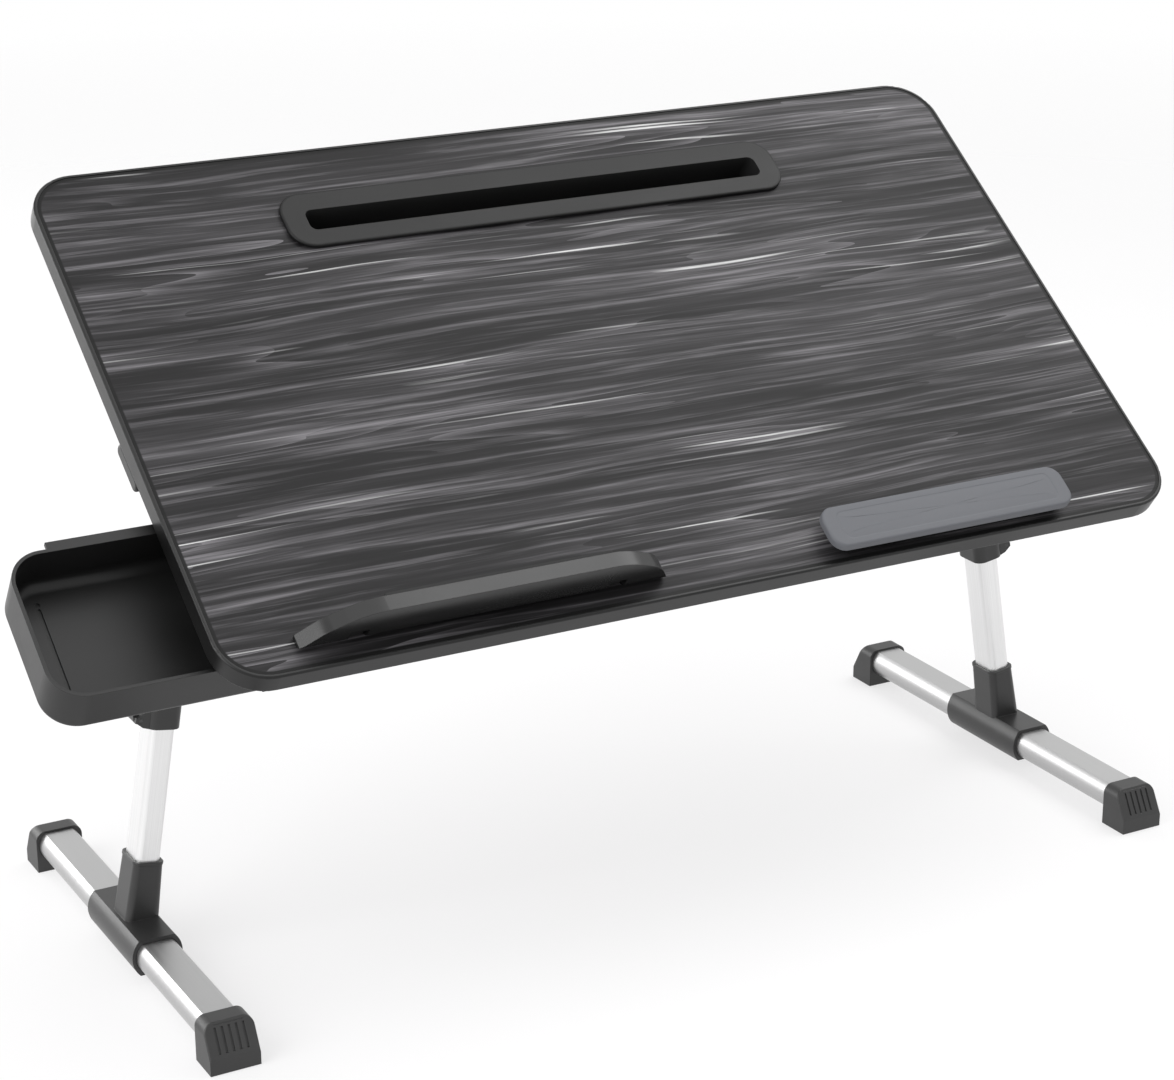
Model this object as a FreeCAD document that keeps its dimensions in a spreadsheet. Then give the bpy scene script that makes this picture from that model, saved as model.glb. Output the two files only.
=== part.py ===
import FreeCAD, Part
import math
import os

import Sketcher

os.makedirs("parts", exist_ok=True)

Vector = FreeCAD.Vector
Rotation = FreeCAD.Rotation
Placement = FreeCAD.Placement

# Every size of the stand: millimetres, degrees, or shares of the size that they follow
SIZES = {
    # Tabletop: u runs to the right, v up the slope from the near edge, h off the surface
    "board_width": 600.0,
    "board_depth": 342.4,
    "board_corner": 26.0,
    "laminate_thick": 0.8,
    "core_thick": 10.9,
    "backing_thick": 0.8,
    "trim_wall": 2.0,
    "trim_proud": 0.4,
    "trim_round": 1.2,
    # Device slot: a raised rim round a long trough
    "slot_long": 301.0,
    "slot_wide": 15.1,
    "slot_back": 61.6,
    "slot_deep": 15.0,
    "slot_wall": 1.6,
    "slot_corner": 4.5,
    "rim_end": 14.0,
    "rim_near": 11.6,
    "rim_far": 13.6,
    "rim_corner": 15.0,
    "rim_high": 2.8,
    "rim_foot_high": 0.9,
    "rim_foot_inset": 1.6,
    "rim_round": 1.0,
    "tray_screw_share": 0.6,
    # Leaning legs
    "tilt_angle": 36.0,
    "leg_lean_angle": 9.6,
    "foot_track": 302.75,
    "foot_axis_high": 17.0,
    "leg_run": 270.7,
    "fold_drop": 24.0,
    "axle_drop": 28.0,
    "axle_back": 180.5,
    # Tilt block under the tabletop
    "barrel_radius": 9.5,
    "block_half": 8.0,
    "neck_half": 12.0,
    "neck_top": 4.0,
    "neck_bottom": 12.0,
    "cheek_thick": 4.6,
    "axle_radius": 3.0,
    "axle_head_radius": 5.0,
    "axle_head_thick": 2.0,
    "pin_head_thick": 1.3,
    "pin_head_radius": 4.4,
    "turn_fit": 0.1,
    "seat_fit": 0.05,
    "run_gap": 0.4,
    "rest_gap": 0.3,
    "lug_thick": 3.0,
    "lug_down": 22.0,
    "lug_up": 5.0,
    # Index plate: a curved slot with a scallop for each step
    "plate_thick": 3.0,
    "plate_radius": 20.4,
    "index_radius": 16.0,
    "index_start_angle": 196.0,
    "index_step_count": 4,
    "index_step_angle": 9.0,
    "plate_margin_angle": 10.0,
    "slot_pin_radius": 1.5,
    "slot_relief": 1.3,
    "pin_tip": 1.0,
    "shoulder_radius": 2.0,
    # Tilt bracket screwed under the board
    "bracket_thick": 3.0,
    "bracket_inner": 33.0,
    "bracket_outer": 27.0,
    "bracket_near": 38.0,
    "bracket_far": 30.0,
    "peg_boss_radius": 5.0,
    "tunnel_start": 14.0,
    "tunnel_end": 26.0,
    "bracket_screw_inner": 24.0,
    "bracket_screw_outer": 19.0,
    "bracket_screw_near": 8.0,
    "bracket_screw_far": 24.0,
    "spring_wall_thick": 3.0,
    "spring_wall_near": 36.0,
    "spring_wall_far": 24.0,
    "spring_wall_low": 2.0,
    # Tilt clip: paddle outside, slider bar, arm and pin inside
    "slider_near": 34.0,
    "slider_far": 26.0,
    "slider_low": 4.0,
    "slider_high": 11.0,
    "slider_gap": 0.15,
    "slider_wall": 3.0,
    "arm_thick": 3.5,
    "arm_gap": 1.5,
    "arm_margin": 3.5,
    "paddle_out": 43.9,
    "paddle_thick": 6.9,
    "paddle_near": 43.5,
    "paddle_far": 13.5,
    "paddle_low": 7.0,
    "paddle_high": 15.0,
    "paddle_corner": 3.5,
    "paddle_round": 1.4,
    "spring_radius": 3.0,
    "spring_wire": 0.3,
    "spring_turn_count": 5,
    # Upper leg: the outer sleeve with its knuckle
    "sleeve_bottom": 124.5,
    "sleeve_half_x": 10.0,
    "sleeve_half_y": 12.5,
    "sleeve_corner": 6.0,
    "sleeve_shoulder": 10.0,
    "sleeve_web": 4.5,
    "knuckle_half": 7.0,
    "knuckle_radius": 7.5,
    "shoulder_round": 1.2,
    # Leg tube
    "tube_half_x": 7.25,
    "tube_half_y": 10.5,
    "tube_corner": 4.0,
    "tube_wall": 1.2,
    "tube_start": 12.0,
    "tube_end": 166.0,
    "tube_fit": 0.3,
    # Flip lever of the height lock
    "latch_out": 14.2,
    "latch_up": 5.0,
    "latch_hub": 3.2,
    "latch_pin_radius": 1.25,
    "latch_half": 7.0,
    "latch_wide_half": 9.0,
    "latch_knee_out": 20.6,
    "latch_knee_up": 10.5,
    "latch_thick": 2.5,
    "latch_long": 48.5,
    "ear_thick": 3.0,
    "ear_gap": 0.3,
    "ear_reach": 17.0,
    "ear_toe": 0.8,
    "window_half_y": 5.6,
    "window_half_z": 3.1,
    # Foot bar: a flat top and bottom with round sides
    "bar_flat": 8.5,
    "bar_half": 12.5,
    "bar_top": 25.3,
    "bar_bottom": 8.85,
    "bar_wall": 1.3,
    "bar_end": 141.0,
    # Foot tee: sleeve over the bar and socket for the tube
    "tee_wall": 2.3,
    "tee_flat": 10.5,
    "tee_half_long": 36.75,
    "socket_top": 45.0,
    "socket_half_base": 10.4,
    "socket_half_top": 8.7,
    "socket_half_y": 11.9,
    "socket_corner": 4.0,
    "socket_bead": 1.8,
    "socket_bead_out": 0.4,
    "fit_gap": 0.1,
    "tee_screw_place": 22.0,
    # Foot caps and rubber pads
    "cap_half": 14.33,
    "cap_start": 129.0,
    "cap_end": 149.8,
    "cap_band": 9.5,
    "cap_high": 26.7,
    "cap_ledge": 140.3,
    "cap_lift": 0.5,
    "cap_shoulder": 6.0,
    "cap_slope_round": 0.9,
    "groove_count": 5,
    "groove_pitch": 4.0,
    "groove_wide": 1.3,
    "groove_deep": 0.9,
    "groove_start_share": 0.12,
    "groove_end_share": 0.84,
    "pad_half_x": 11.0,
    "pad_long": 14.0,
    "pad_thick": 1.5,
    "pad_inset": 3.2,
    # Drawer
    "drawer_end": 382.6,
    "drawer_long": 190.0,
    "drawer_near": 18.3,
    "drawer_far": 109.2,
    "drawer_rim": 16.0,
    "drawer_deep": 30.0,
    "drawer_corner": 19.5,
    "drawer_wall": 2.0,
    "drawer_outer_round": 4.0,
    "drawer_inner_round": 6.0,
    "drawer_travel": 80.0,
    "flange_reach": 4.2,
    "flange_thick": 2.5,
    "far_flange_start": 24.0,
    "near_flange_start": 97.0,
    "groove_line_in": 18.2,
    "groove_line_near": 22.3,
    "groove_line_far": 17.1,
    "floor_groove_wide": 1.6,
    "floor_groove_deep": 0.8,
    "floor_groove_corner": 0.7,
    "floor_dot_radius": 1.3,
    "floor_dot_gap": 2.4,
    # Drawer rails
    "rail_gap": 0.4,
    "rail_slot_gap": 0.3,
    "rail_wall": 2.5,
    "rail_lip_thick": 2.3,
    "rail_foot_thick": 2.2,
    "rail_foot_reach": 10.9,
    "rail_start": 298.0,
    "rail_long": 190.0,
    "near_rail_cut": 18.0,
    "stop_block_long": 6.0,
    "stop_block_high": 11.5,
    "stop_block_inset": 22.0,
    "stop_block_screw_inset": 28.0,
    # Raised stop on the left
    "left_end": 260.0,
    "left_long": 215.0,
    "left_near": 9.7,
    "left_thick": 10.8,
    "left_high": 24.2,
    "left_lift": 0.5,
    "left_pad_thick": 1.5,
    "left_roll": 6.1,
    "left_tip_share": 0.12,
    "left_knee_share": 0.057,
    "left_knee_high_share": 0.57,
    "left_crest_share": 0.158,
    "left_slope_start_share": 0.865,
    "left_slope_end_share": 0.967,
    "left_slope_high_share": 0.612,
    "left_nose_high_share": 0.105,
    "left_knee_round": 30.0,
    "left_crest_round": 50.0,
    "left_fall_round": 45.0,
    "left_nose_round": 22.0,
    "left_facing_start_share": 0.215,
    "left_facing_end_share": 0.835,
    # Flat stop on the right
    "right_start": 58.3,
    "right_long": 165.4,
    "right_near": 2.0,
    "right_far": 30.0,
    "right_high": 12.0,
    "right_pad_low": 7.0,
    "right_corner": 9.0,
    "right_pad_round": 2.0,
    "carrier_lift": 0.6,
    "carrier_inset_end": 6.0,
    "carrier_inset_near": 2.6,
    "carrier_inset_far": 2.0,
    "carrier_round": 1.0,
    "carrier_corner": 6.0,
    "right_axis_back": 4.0,
    "right_axis_high": 4.8,
    # Lugs and pins that carry both stops
    "lug_half_thick": 2.2,
    "lug_wide": 10.0,
    "lug_side_gap": 0.3,
    "lug_inset": 32.0,
    "stop_pin_radius": 1.0,
    "stop_pin_end_inset": 12.0,
    # Screws
    "screw_radius": 1.5,
    "screw_head_radius": 3.0,
    "screw_head_thick": 1.8,
    "screw_slot": 0.8,
    "screw_tip_cover": 2.0,
    "small_screw_radius": 1.2,
    "small_head_radius": 2.5,
    "small_head_thick": 1.2,
    "rail_screw_inset": 20.0,
    "hole_gap": 0.1,
    "overrun": 1.0,
}

doc = FreeCAD.newDocument("laptop_stand")
sheet = doc.addObject("Spreadsheet::Sheet", "sizes")


class Term:
    """A size together with the sheet expression that gives it."""

    def __init__(self, value, text):
        self.value = value
        self.text = text

    def __add__(self, other):
        return Term(self.value + value_of(other), f"({self.text} + {text_of(other)})")

    def __radd__(self, other):
        return Term(value_of(other) + self.value, f"({text_of(other)} + {self.text})")

    def __sub__(self, other):
        return Term(self.value - value_of(other), f"({self.text} - {text_of(other)})")

    def __rsub__(self, other):
        return Term(value_of(other) - self.value, f"({text_of(other)} - {self.text})")

    def __mul__(self, other):
        return Term(self.value * value_of(other), f"({self.text} * {text_of(other)})")

    def __rmul__(self, other):
        return Term(value_of(other) * self.value, f"({text_of(other)} * {self.text})")

    def __truediv__(self, other):
        return Term(self.value / value_of(other), f"({self.text} / {text_of(other)})")

    def __neg__(self):
        return Term(-self.value, f"(0 - {self.text})")


def value_of(term):
    return term.value if isinstance(term, Term) else float(term)


def text_of(term):
    return term.text if isinstance(term, Term) else str(term)


def sine(angle):
    return Term(math.sin(math.radians(angle.value)), f"sin({angle.text} * 1 deg)")


def cosine(angle):
    return Term(math.cos(math.radians(angle.value)), f"cos({angle.text} * 1 deg)")


class Sizes:
    """The named sizes as terms, written into the sheet too."""

    def __init__(self, table):
        for row, (name, value) in enumerate(table.items(), start=1):
            sheet.set(f"A{row}", name)
            sheet.set(f"B{row}", str(value))
            sheet.setAlias(f"B{row}", name)
            setattr(self, name, Term(float(value), f"sizes.{name}"))


S = Sizes(SIZES)
doc.recompute()

# Sizes that follow from the named ones
BOARD_UNDER = S.laminate_thick + S.core_thick + S.backing_thick
BOARD_HALF = S.board_width / 2
UNDER_AXLE = S.axle_drop - BOARD_UNDER
PEG_V = S.index_radius * cosine(S.index_start_angle)
PEG_H = S.index_radius * sine(S.index_start_angle)
SLOT_HALF = S.slot_long / 2
SLOT_NEAR = S.board_depth - S.slot_back
SLOT_FAR = SLOT_NEAR + S.slot_wide
HINGE_X = S.foot_track - S.leg_run * sine(S.leg_lean_angle)
AXLE_Z = S.foot_axis_high + S.leg_run * cosine(S.leg_lean_angle) + S.fold_drop
MID_X = (S.drawer_end - S.foot_track - S.cap_half) / 2
LATCH_Z = S.sleeve_bottom + S.latch_up

# The near lip of the trim and the far foot caps set the middle of the depth
LIP_V = S.trim_round - S.trim_wall - S.axle_back
LIP_H = S.trim_proud - S.trim_round + S.axle_drop
LIP_Y = LIP_V * cosine(S.tilt_angle) - LIP_H * sine(S.tilt_angle) - S.trim_round
LEG_Y = -(LIP_Y + S.cap_end) / 2

# The lever's inner side, from the knee down to its hub, as shares of the hub's radius
LATCH_BACK_SHARES = ((0.25, 0.95), (-0.5, 0.3))

# Where each group of pieces stands
AXIS = {"x": Vector(1, 0, 0), "y": Vector(0, 1, 0), "z": Vector(0, 0, 1)}
TURN = {"x": Rotation(Vector(1, 1, 1), 120), "y": Rotation(Vector(1, 1, 1), 240), "z": Rotation()}
AXLE_POINT = Vector(MID_X.value + HINGE_X.value, LEG_Y.value, AXLE_Z.value)
TILT = Rotation(AXIS["x"], S.tilt_angle.value)
LEAN = Rotation(AXIS["y"], -S.leg_lean_angle.value)
BLOCK_PLACE = Placement(AXLE_POINT, Rotation())
SWING_PLACE = Placement(AXLE_POINT, TILT)
TOP_PLACE = Placement(Vector(MID_X.value, LEG_Y.value, AXLE_Z.value), TILT).multiply(
    Placement(Vector(0, -S.axle_back.value, S.axle_drop.value), Rotation())
)
FOOT_POINT = Vector(MID_X.value + S.foot_track.value, LEG_Y.value, 0)
FOOT_PLACE = Placement(FOOT_POINT, Rotation())
FAR_TURN = Placement(FOOT_POINT, Rotation(AXIS["z"], 180))
LEG_IN_FOOT = Placement(Vector(0, 0, S.foot_axis_high.value), LEAN)
LEG_PLACE = FOOT_PLACE.multiply(LEG_IN_FOOT)
FOLD_IN_BLOCK = Placement(Vector(0, 0, -S.fold_drop.value), LEAN)

NODES = {}
CUTS = []


def bind(thing, prop, term):
    """Give a property its value through the sheet."""
    thing.setExpression(prop, text_of(term))


def keep(node, thing, place=None):
    """Name a finished sub-part and put it in its place."""
    thing.Label = node
    if place is not None:
        thing.Placement = place
    NODES[node] = thing
    return thing


# Sketches and the features made from them


def new_body(name):
    return doc.addObject("PartDesign::Body", name)


def plane_of(body, role):
    return next(feature for feature in body.Origin.OriginFeatures if feature.Role == role)


def fix_point(sketch, index, end, x, y):
    """Hold one end of an edge at bound distances from the sketch's origin."""
    for kind, term in (("DistanceX", x), ("DistanceY", y)):
        rule = sketch.addConstraint(Sketcher.Constraint(kind, -1, 1, index, end, value_of(term)))
        sketch.setExpression(f"Constraints[{rule}]", text_of(term))


def fix_size(sketch, kind, index, term):
    rule = sketch.addConstraint(Sketcher.Constraint(kind, index, value_of(term)))
    sketch.setExpression(f"Constraints[{rule}]", text_of(term))


def flat(x, y):
    return Vector(value_of(x), value_of(y), 0)


def polygon(points):
    """A closed outline through the points."""

    def draw(sketch):
        count = len(points)
        for index, point in enumerate(points):
            onward = points[(index + 1) % count]
            sketch.addGeometry(Part.LineSegment(flat(*point), flat(*onward)), False)
        for index in range(count):
            sketch.addConstraint(Sketcher.Constraint("Coincident", index, 2, (index + 1) % count, 1))
        for index, point in enumerate(points):
            fix_point(sketch, index, 1, *point)

    return draw


def arc(x, y, radius, start, end):
    circle = Part.Circle(Vector(x, y, 0), AXIS["z"], radius)
    return Part.ArcOfCircle(circle, start, end)


def rounded(x0, x1, y0, y1, radius):
    """A rectangle with four equal round corners."""

    def draw(sketch):
        left, right, low, high = (value_of(side) for side in (x0, x1, y0, y1))
        r = radius.value
        quarter = math.pi / 2
        sketch.addGeometry(Part.LineSegment(Vector(left + r, low, 0), Vector(right - r, low, 0)), False)
        sketch.addGeometry(Part.LineSegment(Vector(right, low + r, 0), Vector(right, high - r, 0)), False)
        sketch.addGeometry(Part.LineSegment(Vector(right - r, high, 0), Vector(left + r, high, 0)), False)
        sketch.addGeometry(Part.LineSegment(Vector(left, high - r, 0), Vector(left, low + r, 0)), False)
        sketch.addGeometry(arc(right - r, low + r, r, -quarter, 0), False)
        sketch.addGeometry(arc(right - r, high - r, r, 0, quarter), False)
        sketch.addGeometry(arc(left + r, high - r, r, quarter, 2 * quarter), False)
        sketch.addGeometry(arc(left + r, low + r, r, 2 * quarter, 3 * quarter), False)
        for side in range(4):
            sketch.addConstraint(Sketcher.Constraint("Tangent", side, 2, side + 4, 1))
            sketch.addConstraint(Sketcher.Constraint("Tangent", side + 4, 2, (side + 1) % 4, 1))
        sketch.addConstraint(Sketcher.Constraint("Horizontal", 0))
        sketch.addConstraint(Sketcher.Constraint("Horizontal", 2))
        sketch.addConstraint(Sketcher.Constraint("Vertical", 1))
        sketch.addConstraint(Sketcher.Constraint("Vertical", 3))
        for other in (5, 6, 7):
            sketch.addConstraint(Sketcher.Constraint("Equal", 4, other))
        fix_size(sketch, "Radius", 4, radius)
        sides = (("DistanceY", 0, y0), ("DistanceX", 1, x1), ("DistanceY", 2, y1), ("DistanceX", 3, x0))
        for kind, index, term in sides:
            rule = sketch.addConstraint(Sketcher.Constraint(kind, -1, 1, index, 1, value_of(term)))
            sketch.setExpression(f"Constraints[{rule}]", text_of(term))

    return draw


def circles(places, radius):
    """Round holes or discs at the places."""

    def draw(sketch):
        for index, (x, y) in enumerate(places):
            sketch.addGeometry(Part.Circle(flat(x, y), AXIS["z"], value_of(radius)), False)
            fix_point(sketch, index, 3, x, y)
            fix_size(sketch, "Radius", index, radius)

    return draw


def oval(half_flat, half_wide, bottom, top):
    """The foot bar's section: flat above and below, with an arc on each side."""

    def draw(sketch):
        rise = (top - bottom) / 2
        bulge = half_wide - half_flat
        radius = (rise * rise + bulge * bulge) / (2 * bulge)
        centre = half_wide.value - radius.value
        middle = (top.value + bottom.value) / 2
        swing = math.asin(rise.value / radius.value)
        across, low, high = half_flat.value, bottom.value, top.value
        sketch.addGeometry(Part.LineSegment(Vector(-across, low, 0), Vector(across, low, 0)), False)
        sketch.addGeometry(arc(centre, middle, radius.value, -swing, swing), False)
        sketch.addGeometry(Part.LineSegment(Vector(across, high, 0), Vector(-across, high, 0)), False)
        sketch.addGeometry(arc(-centre, middle, radius.value, math.pi - swing, math.pi + swing), False)
        for index in range(4):
            sketch.addConstraint(Sketcher.Constraint("Coincident", index, 2, (index + 1) % 4, 1))
        corners = ((-half_flat, bottom), (half_flat, bottom), (half_flat, top), (-half_flat, top))
        for index, (x, y) in enumerate(corners):
            fix_point(sketch, index, 1, x, y)
        fix_size(sketch, "Radius", 1, radius)
        fix_size(sketch, "Radius", 3, radius)

    return draw


def extrude(body, name, role, draw, low, high, cut=False):
    """Pad or pocket an outline between two heights along its plane's axis."""
    middle = (low + high) / 2
    sketch = body.newObject("Sketcher::SketchObject", name + "_sketch")
    sketch.AttachmentSupport = [(plane_of(body, role), "")]
    sketch.MapMode = "FlatFace"
    bind(sketch, "AttachmentOffset.Base.z", -middle if role == "XZ_Plane" else middle)
    draw(sketch)
    feature = body.newObject("PartDesign::Pocket" if cut else "PartDesign::Pad", name)
    feature.Profile = sketch
    feature.Midplane = True
    bind(feature, "Length", high - low)
    if cut:
        CUTS.append(feature)
    doc.recompute()
    return feature


def soften(body, name, radius, chosen):
    """Round the chosen edges of the body so far."""
    base = body.Tip
    edges = [f"Edge{n}" for n, edge in enumerate(base.Shape.Edges, start=1) if chosen(edge)]
    feature = body.newObject("PartDesign::Fillet", name)
    feature.Base = (base, edges)
    bind(feature, "Radius", radius)
    doc.recompute()
    return feature


def same(a, b):
    return abs(value_of(a) - value_of(b)) < 1e-4


def at_height(*heights):
    """Choose the edges that lie level at one of the heights."""

    def chosen(edge):
        box = edge.BoundBox
        return any(same(box.ZMin, level) and same(box.ZMax, level) for level in heights)

    return chosen


def along(axis, **places):
    """Choose the straight edges along an axis, at the given places in the other two."""

    def chosen(edge):
        if edge.Curve.TypeId != "Part::GeomLine":
            return False
        first, last = edge.Vertexes[0].Point, edge.Vertexes[-1].Point
        middle = (first + last) * 0.5
        if abs((last - first).normalize().dot(AXIS[axis])) < 0.999:
            return False
        return all(any(same(getattr(middle, key), one) for one in spots) for key, spots in places.items())

    return chosen


# Plain solids


def block(name, x0, x1, y0, y1, z0, z1):
    box = doc.addObject("Part::Box", name)
    bind(box, "Length", x1 - x0)
    bind(box, "Width", y1 - y0)
    bind(box, "Height", z1 - z0)
    bind(box, "Placement.Base.x", x0)
    bind(box, "Placement.Base.y", y0)
    bind(box, "Placement.Base.z", z0)
    return box


def rod(name, axis, radius, start, end, one, other):
    """A cylinder along an axis; one and other are its place in the other two axes, in x, y, z order."""
    bar = doc.addObject("Part::Cylinder", name)
    bind(bar, "Radius", radius)
    bind(bar, "Height", end - start)
    bar.Placement = Placement(Vector(), TURN[axis])
    places = {"x": (start, one, other), "y": (one, start, other), "z": (one, other, start)}[axis]
    for key, term in zip("xyz", places):
        bind(bar, f"Placement.Base.{key}", term)
    return bar


def wedge(name, radius, start, end, first_angle, angle):
    """A sector of a disc whose axis lies along x."""
    disc = doc.addObject("Part::Cylinder", name)
    bind(disc, "Radius", radius)
    bind(disc, "Height", end - start)
    bind(disc, "Angle", angle)
    disc.Placement = Placement(Vector(), Rotation(AXIS["x"], value_of(first_angle)).multiply(TURN["x"]))
    bind(disc, "Placement.Base.x", start)
    return disc


def join(name, pieces, place=None):
    fused = doc.addObject("Part::MultiFuse", name)
    fused.Shapes = pieces
    fused.Refine = True
    if place is not None:
        fused.Placement = place
    return fused


def cut_from(name, base, tools):
    cut = doc.addObject("Part::Cut", name)
    cut.Base = base
    cut.Tool = tools[0] if len(tools) == 1 else join(name + "_tools", tools)
    cut.Refine = True
    return cut


def group(name, pieces):
    many = doc.addObject("Part::Compound", name)
    many.Links = pieces
    return many


# Screws: a head with a cross recess and a plain shank, pointing up


def screw_shape(head_radius, head_thick, radius, reach):
    head = Part.makeCylinder(head_radius.value, head_thick.value)
    shank = Part.makeCylinder(radius.value, reach, Vector(0, 0, head_thick.value))
    solid = head.fuse(shank).removeSplitter()
    long = head_radius.value
    wide = S.screw_slot.value
    deep = head_thick.value / 2
    for length, width in ((long, wide), (wide, long)):
        corner = Vector(-length / 2, -width / 2, 0)
        solid = solid.cut(Part.makeBox(length, width, deep, corner))
    return solid


def screw_group(node, places, head_radius, head_thick, radius, place):
    """Screws whose heads start at each (x, y, z) and whose shanks reach up by the fourth value."""
    shapes = []
    for x, y, z, reach in places:
        solid = screw_shape(head_radius, head_thick, radius, value_of(reach))
        solid.translate(Vector(value_of(x), value_of(y), value_of(z)))
        shapes.append(solid)
    screws = doc.addObject("Part::Feature", node)
    screws.Shape = Part.makeCompound(shapes)
    return keep(node, screws, place)


# Places of the screws, shared by the screws and the holes for them


def bracket_screw_places():
    """(w, v from the axle) of one bracket's four screws."""
    return [
        (w, v)
        for w in (-S.bracket_screw_inner, S.bracket_screw_outer)
        for v in (S.bracket_screw_far, -S.bracket_screw_near)
    ]


def rail_screw_places():
    """(u, v) of the rails' screws and of the drawer stop's two."""
    reach = S.flange_reach + S.rail_gap + S.rail_wall + S.rail_foot_reach / 2
    places = []
    first = S.rail_screw_inset
    for v, start in ((S.drawer_far + reach, first), (S.drawer_near - reach, first + S.near_rail_cut)):
        for u in (start, S.rail_long / 2, S.rail_long - first):
            places.append((u - S.rail_start, v))
    return places


def stop_block_screw_places():
    u = S.drawer_long + S.drawer_travel + S.rail_gap - S.drawer_end + S.stop_block_long / 2
    inset = S.stop_block_screw_inset
    return [(u, S.drawer_near + inset), (u, S.drawer_far - inset)]


def tray_screw_places():
    """(u, v) of the slot tray's screws: one at each end, two through the near rim."""
    end = SLOT_HALF + (S.slot_wall + S.rim_end) / 2
    near = SLOT_NEAR - (S.slot_wall + S.rim_near) / 2
    middle = SLOT_NEAR + S.slot_wide / 2
    inner = SLOT_HALF * S.tray_screw_share
    return [(-end, middle), (end, middle), (-inner, near), (inner, near)]


def left_axis():
    """(v, h) of the raised stop's pin."""
    return S.left_near + S.left_roll, S.left_roll + S.trim_proud + S.rest_gap


def right_axis():
    """(v, h) of the flat stop's pin."""
    return S.right_far - S.right_axis_back, S.right_axis_high


def lug_places(start, length):
    """Middle of the two lugs along a stop."""
    return [start + S.lug_inset, start + length - S.lug_inset]


def left_screw_places():
    return [(u, left_axis()[0]) for u in lug_places(-S.left_end, S.left_long)]


def stop_screw_places():
    right = [(u, right_axis()[0]) for u in lug_places(S.right_start, S.right_long)]
    return left_screw_places() + right


def board_bracket_places():
    return [(side * (HINGE_X + w), S.axle_back + v) for side in (-1, 1) for w, v in bracket_screw_places()]


# Tabletop panel and its two skins


def board_outline(grow):
    return rounded(-BOARD_HALF - grow, BOARD_HALF + grow, -grow, S.board_depth + grow, S.board_corner + grow)


def trough_outline(grow):
    return rounded(
        -SLOT_HALF - grow, SLOT_HALF + grow, SLOT_NEAR - grow, SLOT_FAR + grow, S.slot_corner + grow
    )


def pierce(body, low, high, blind):
    """Cut the trough's opening and the screw holes through one layer of the board."""
    extrude(body, "slot_cut", "XY_Plane", trough_outline(S.slot_wall), low, high, cut=True)
    small = S.small_screw_radius + S.hole_gap
    large = S.screw_radius + S.hole_gap
    extrude(body, "stop_holes", "XY_Plane", circles(stop_screw_places(), small), low, high, cut=True)
    extrude(body, "tray_holes", "XY_Plane", circles(tray_screw_places(), large), low, high, cut=True)
    if blind is not None:
        hidden = board_bracket_places() + rail_screw_places() + stop_block_screw_places()
        extrude(body, "under_holes", "XY_Plane", circles(hidden, large), low, blind, cut=True)


def make_board():
    top = -S.laminate_thick
    seam = top - S.core_thick
    layers = (
        ("laminate_top", top, 0, None),
        ("board_core", seam, top, top - S.screw_tip_cover),
        ("backing_sheet", -BOARD_UNDER, seam, seam),
    )
    for node, low, high, blind in layers:
        body = new_body(node + "_body")
        extrude(body, "panel", "XY_Plane", board_outline(0), low, high)
        pierce(body, low, high, blind)
        keep(node, body, TOP_PLACE)


def make_edge_trim():
    body = new_body("edge_trim_body")
    extrude(body, "band", "XY_Plane", board_outline(S.trim_wall), -BOARD_UNDER, S.trim_proud)
    soften(body, "band_round", S.trim_round, at_height(-BOARD_UNDER, S.trim_proud))
    low, high = -(BOARD_UNDER + S.overrun), S.trim_proud + S.overrun
    extrude(body, "board_seat", "XY_Plane", board_outline(0), low, high, cut=True)
    keep("edge_trim", body, TOP_PLACE)


def rim_outline(inset):
    near = SLOT_NEAR - S.rim_near + inset
    far = SLOT_FAR + S.rim_far - inset
    half = SLOT_HALF + S.rim_end - inset
    return rounded(-half, half, near, far, S.rim_corner - inset)


def make_slot_tray():
    body = new_body("slot_tray_body")
    extrude(body, "rim_foot", "XY_Plane", rim_outline(S.rim_foot_inset), 0, S.rim_foot_high)
    extrude(body, "rim", "XY_Plane", rim_outline(0), S.rim_foot_high, S.rim_high)
    soften(body, "rim_edge", S.rim_round, at_height(S.rim_high))
    bottom = -(S.slot_deep + S.slot_wall)
    extrude(body, "trough", "XY_Plane", trough_outline(S.slot_wall), bottom, 0)
    extrude(body, "slot", "XY_Plane", trough_outline(0), -S.slot_deep, S.rim_high + S.overrun, cut=True)
    small = circles(tray_screw_places(), S.screw_radius + S.hole_gap)
    extrude(body, "screw_seats", "XY_Plane", small, -S.overrun, S.rim_high / 2, cut=True)
    keep("slot_tray", body, TOP_PLACE)
    reach = BOARD_UNDER + S.rim_high / 2 - S.hole_gap
    places = [(u, v, -(BOARD_UNDER + S.screw_head_thick), reach) for u, v in tray_screw_places()]
    screw_group(
        "slot_tray_screws", places, S.screw_head_radius, S.screw_head_thick, S.screw_radius, TOP_PLACE
    )


# Drawer, its rails and its stop


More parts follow.
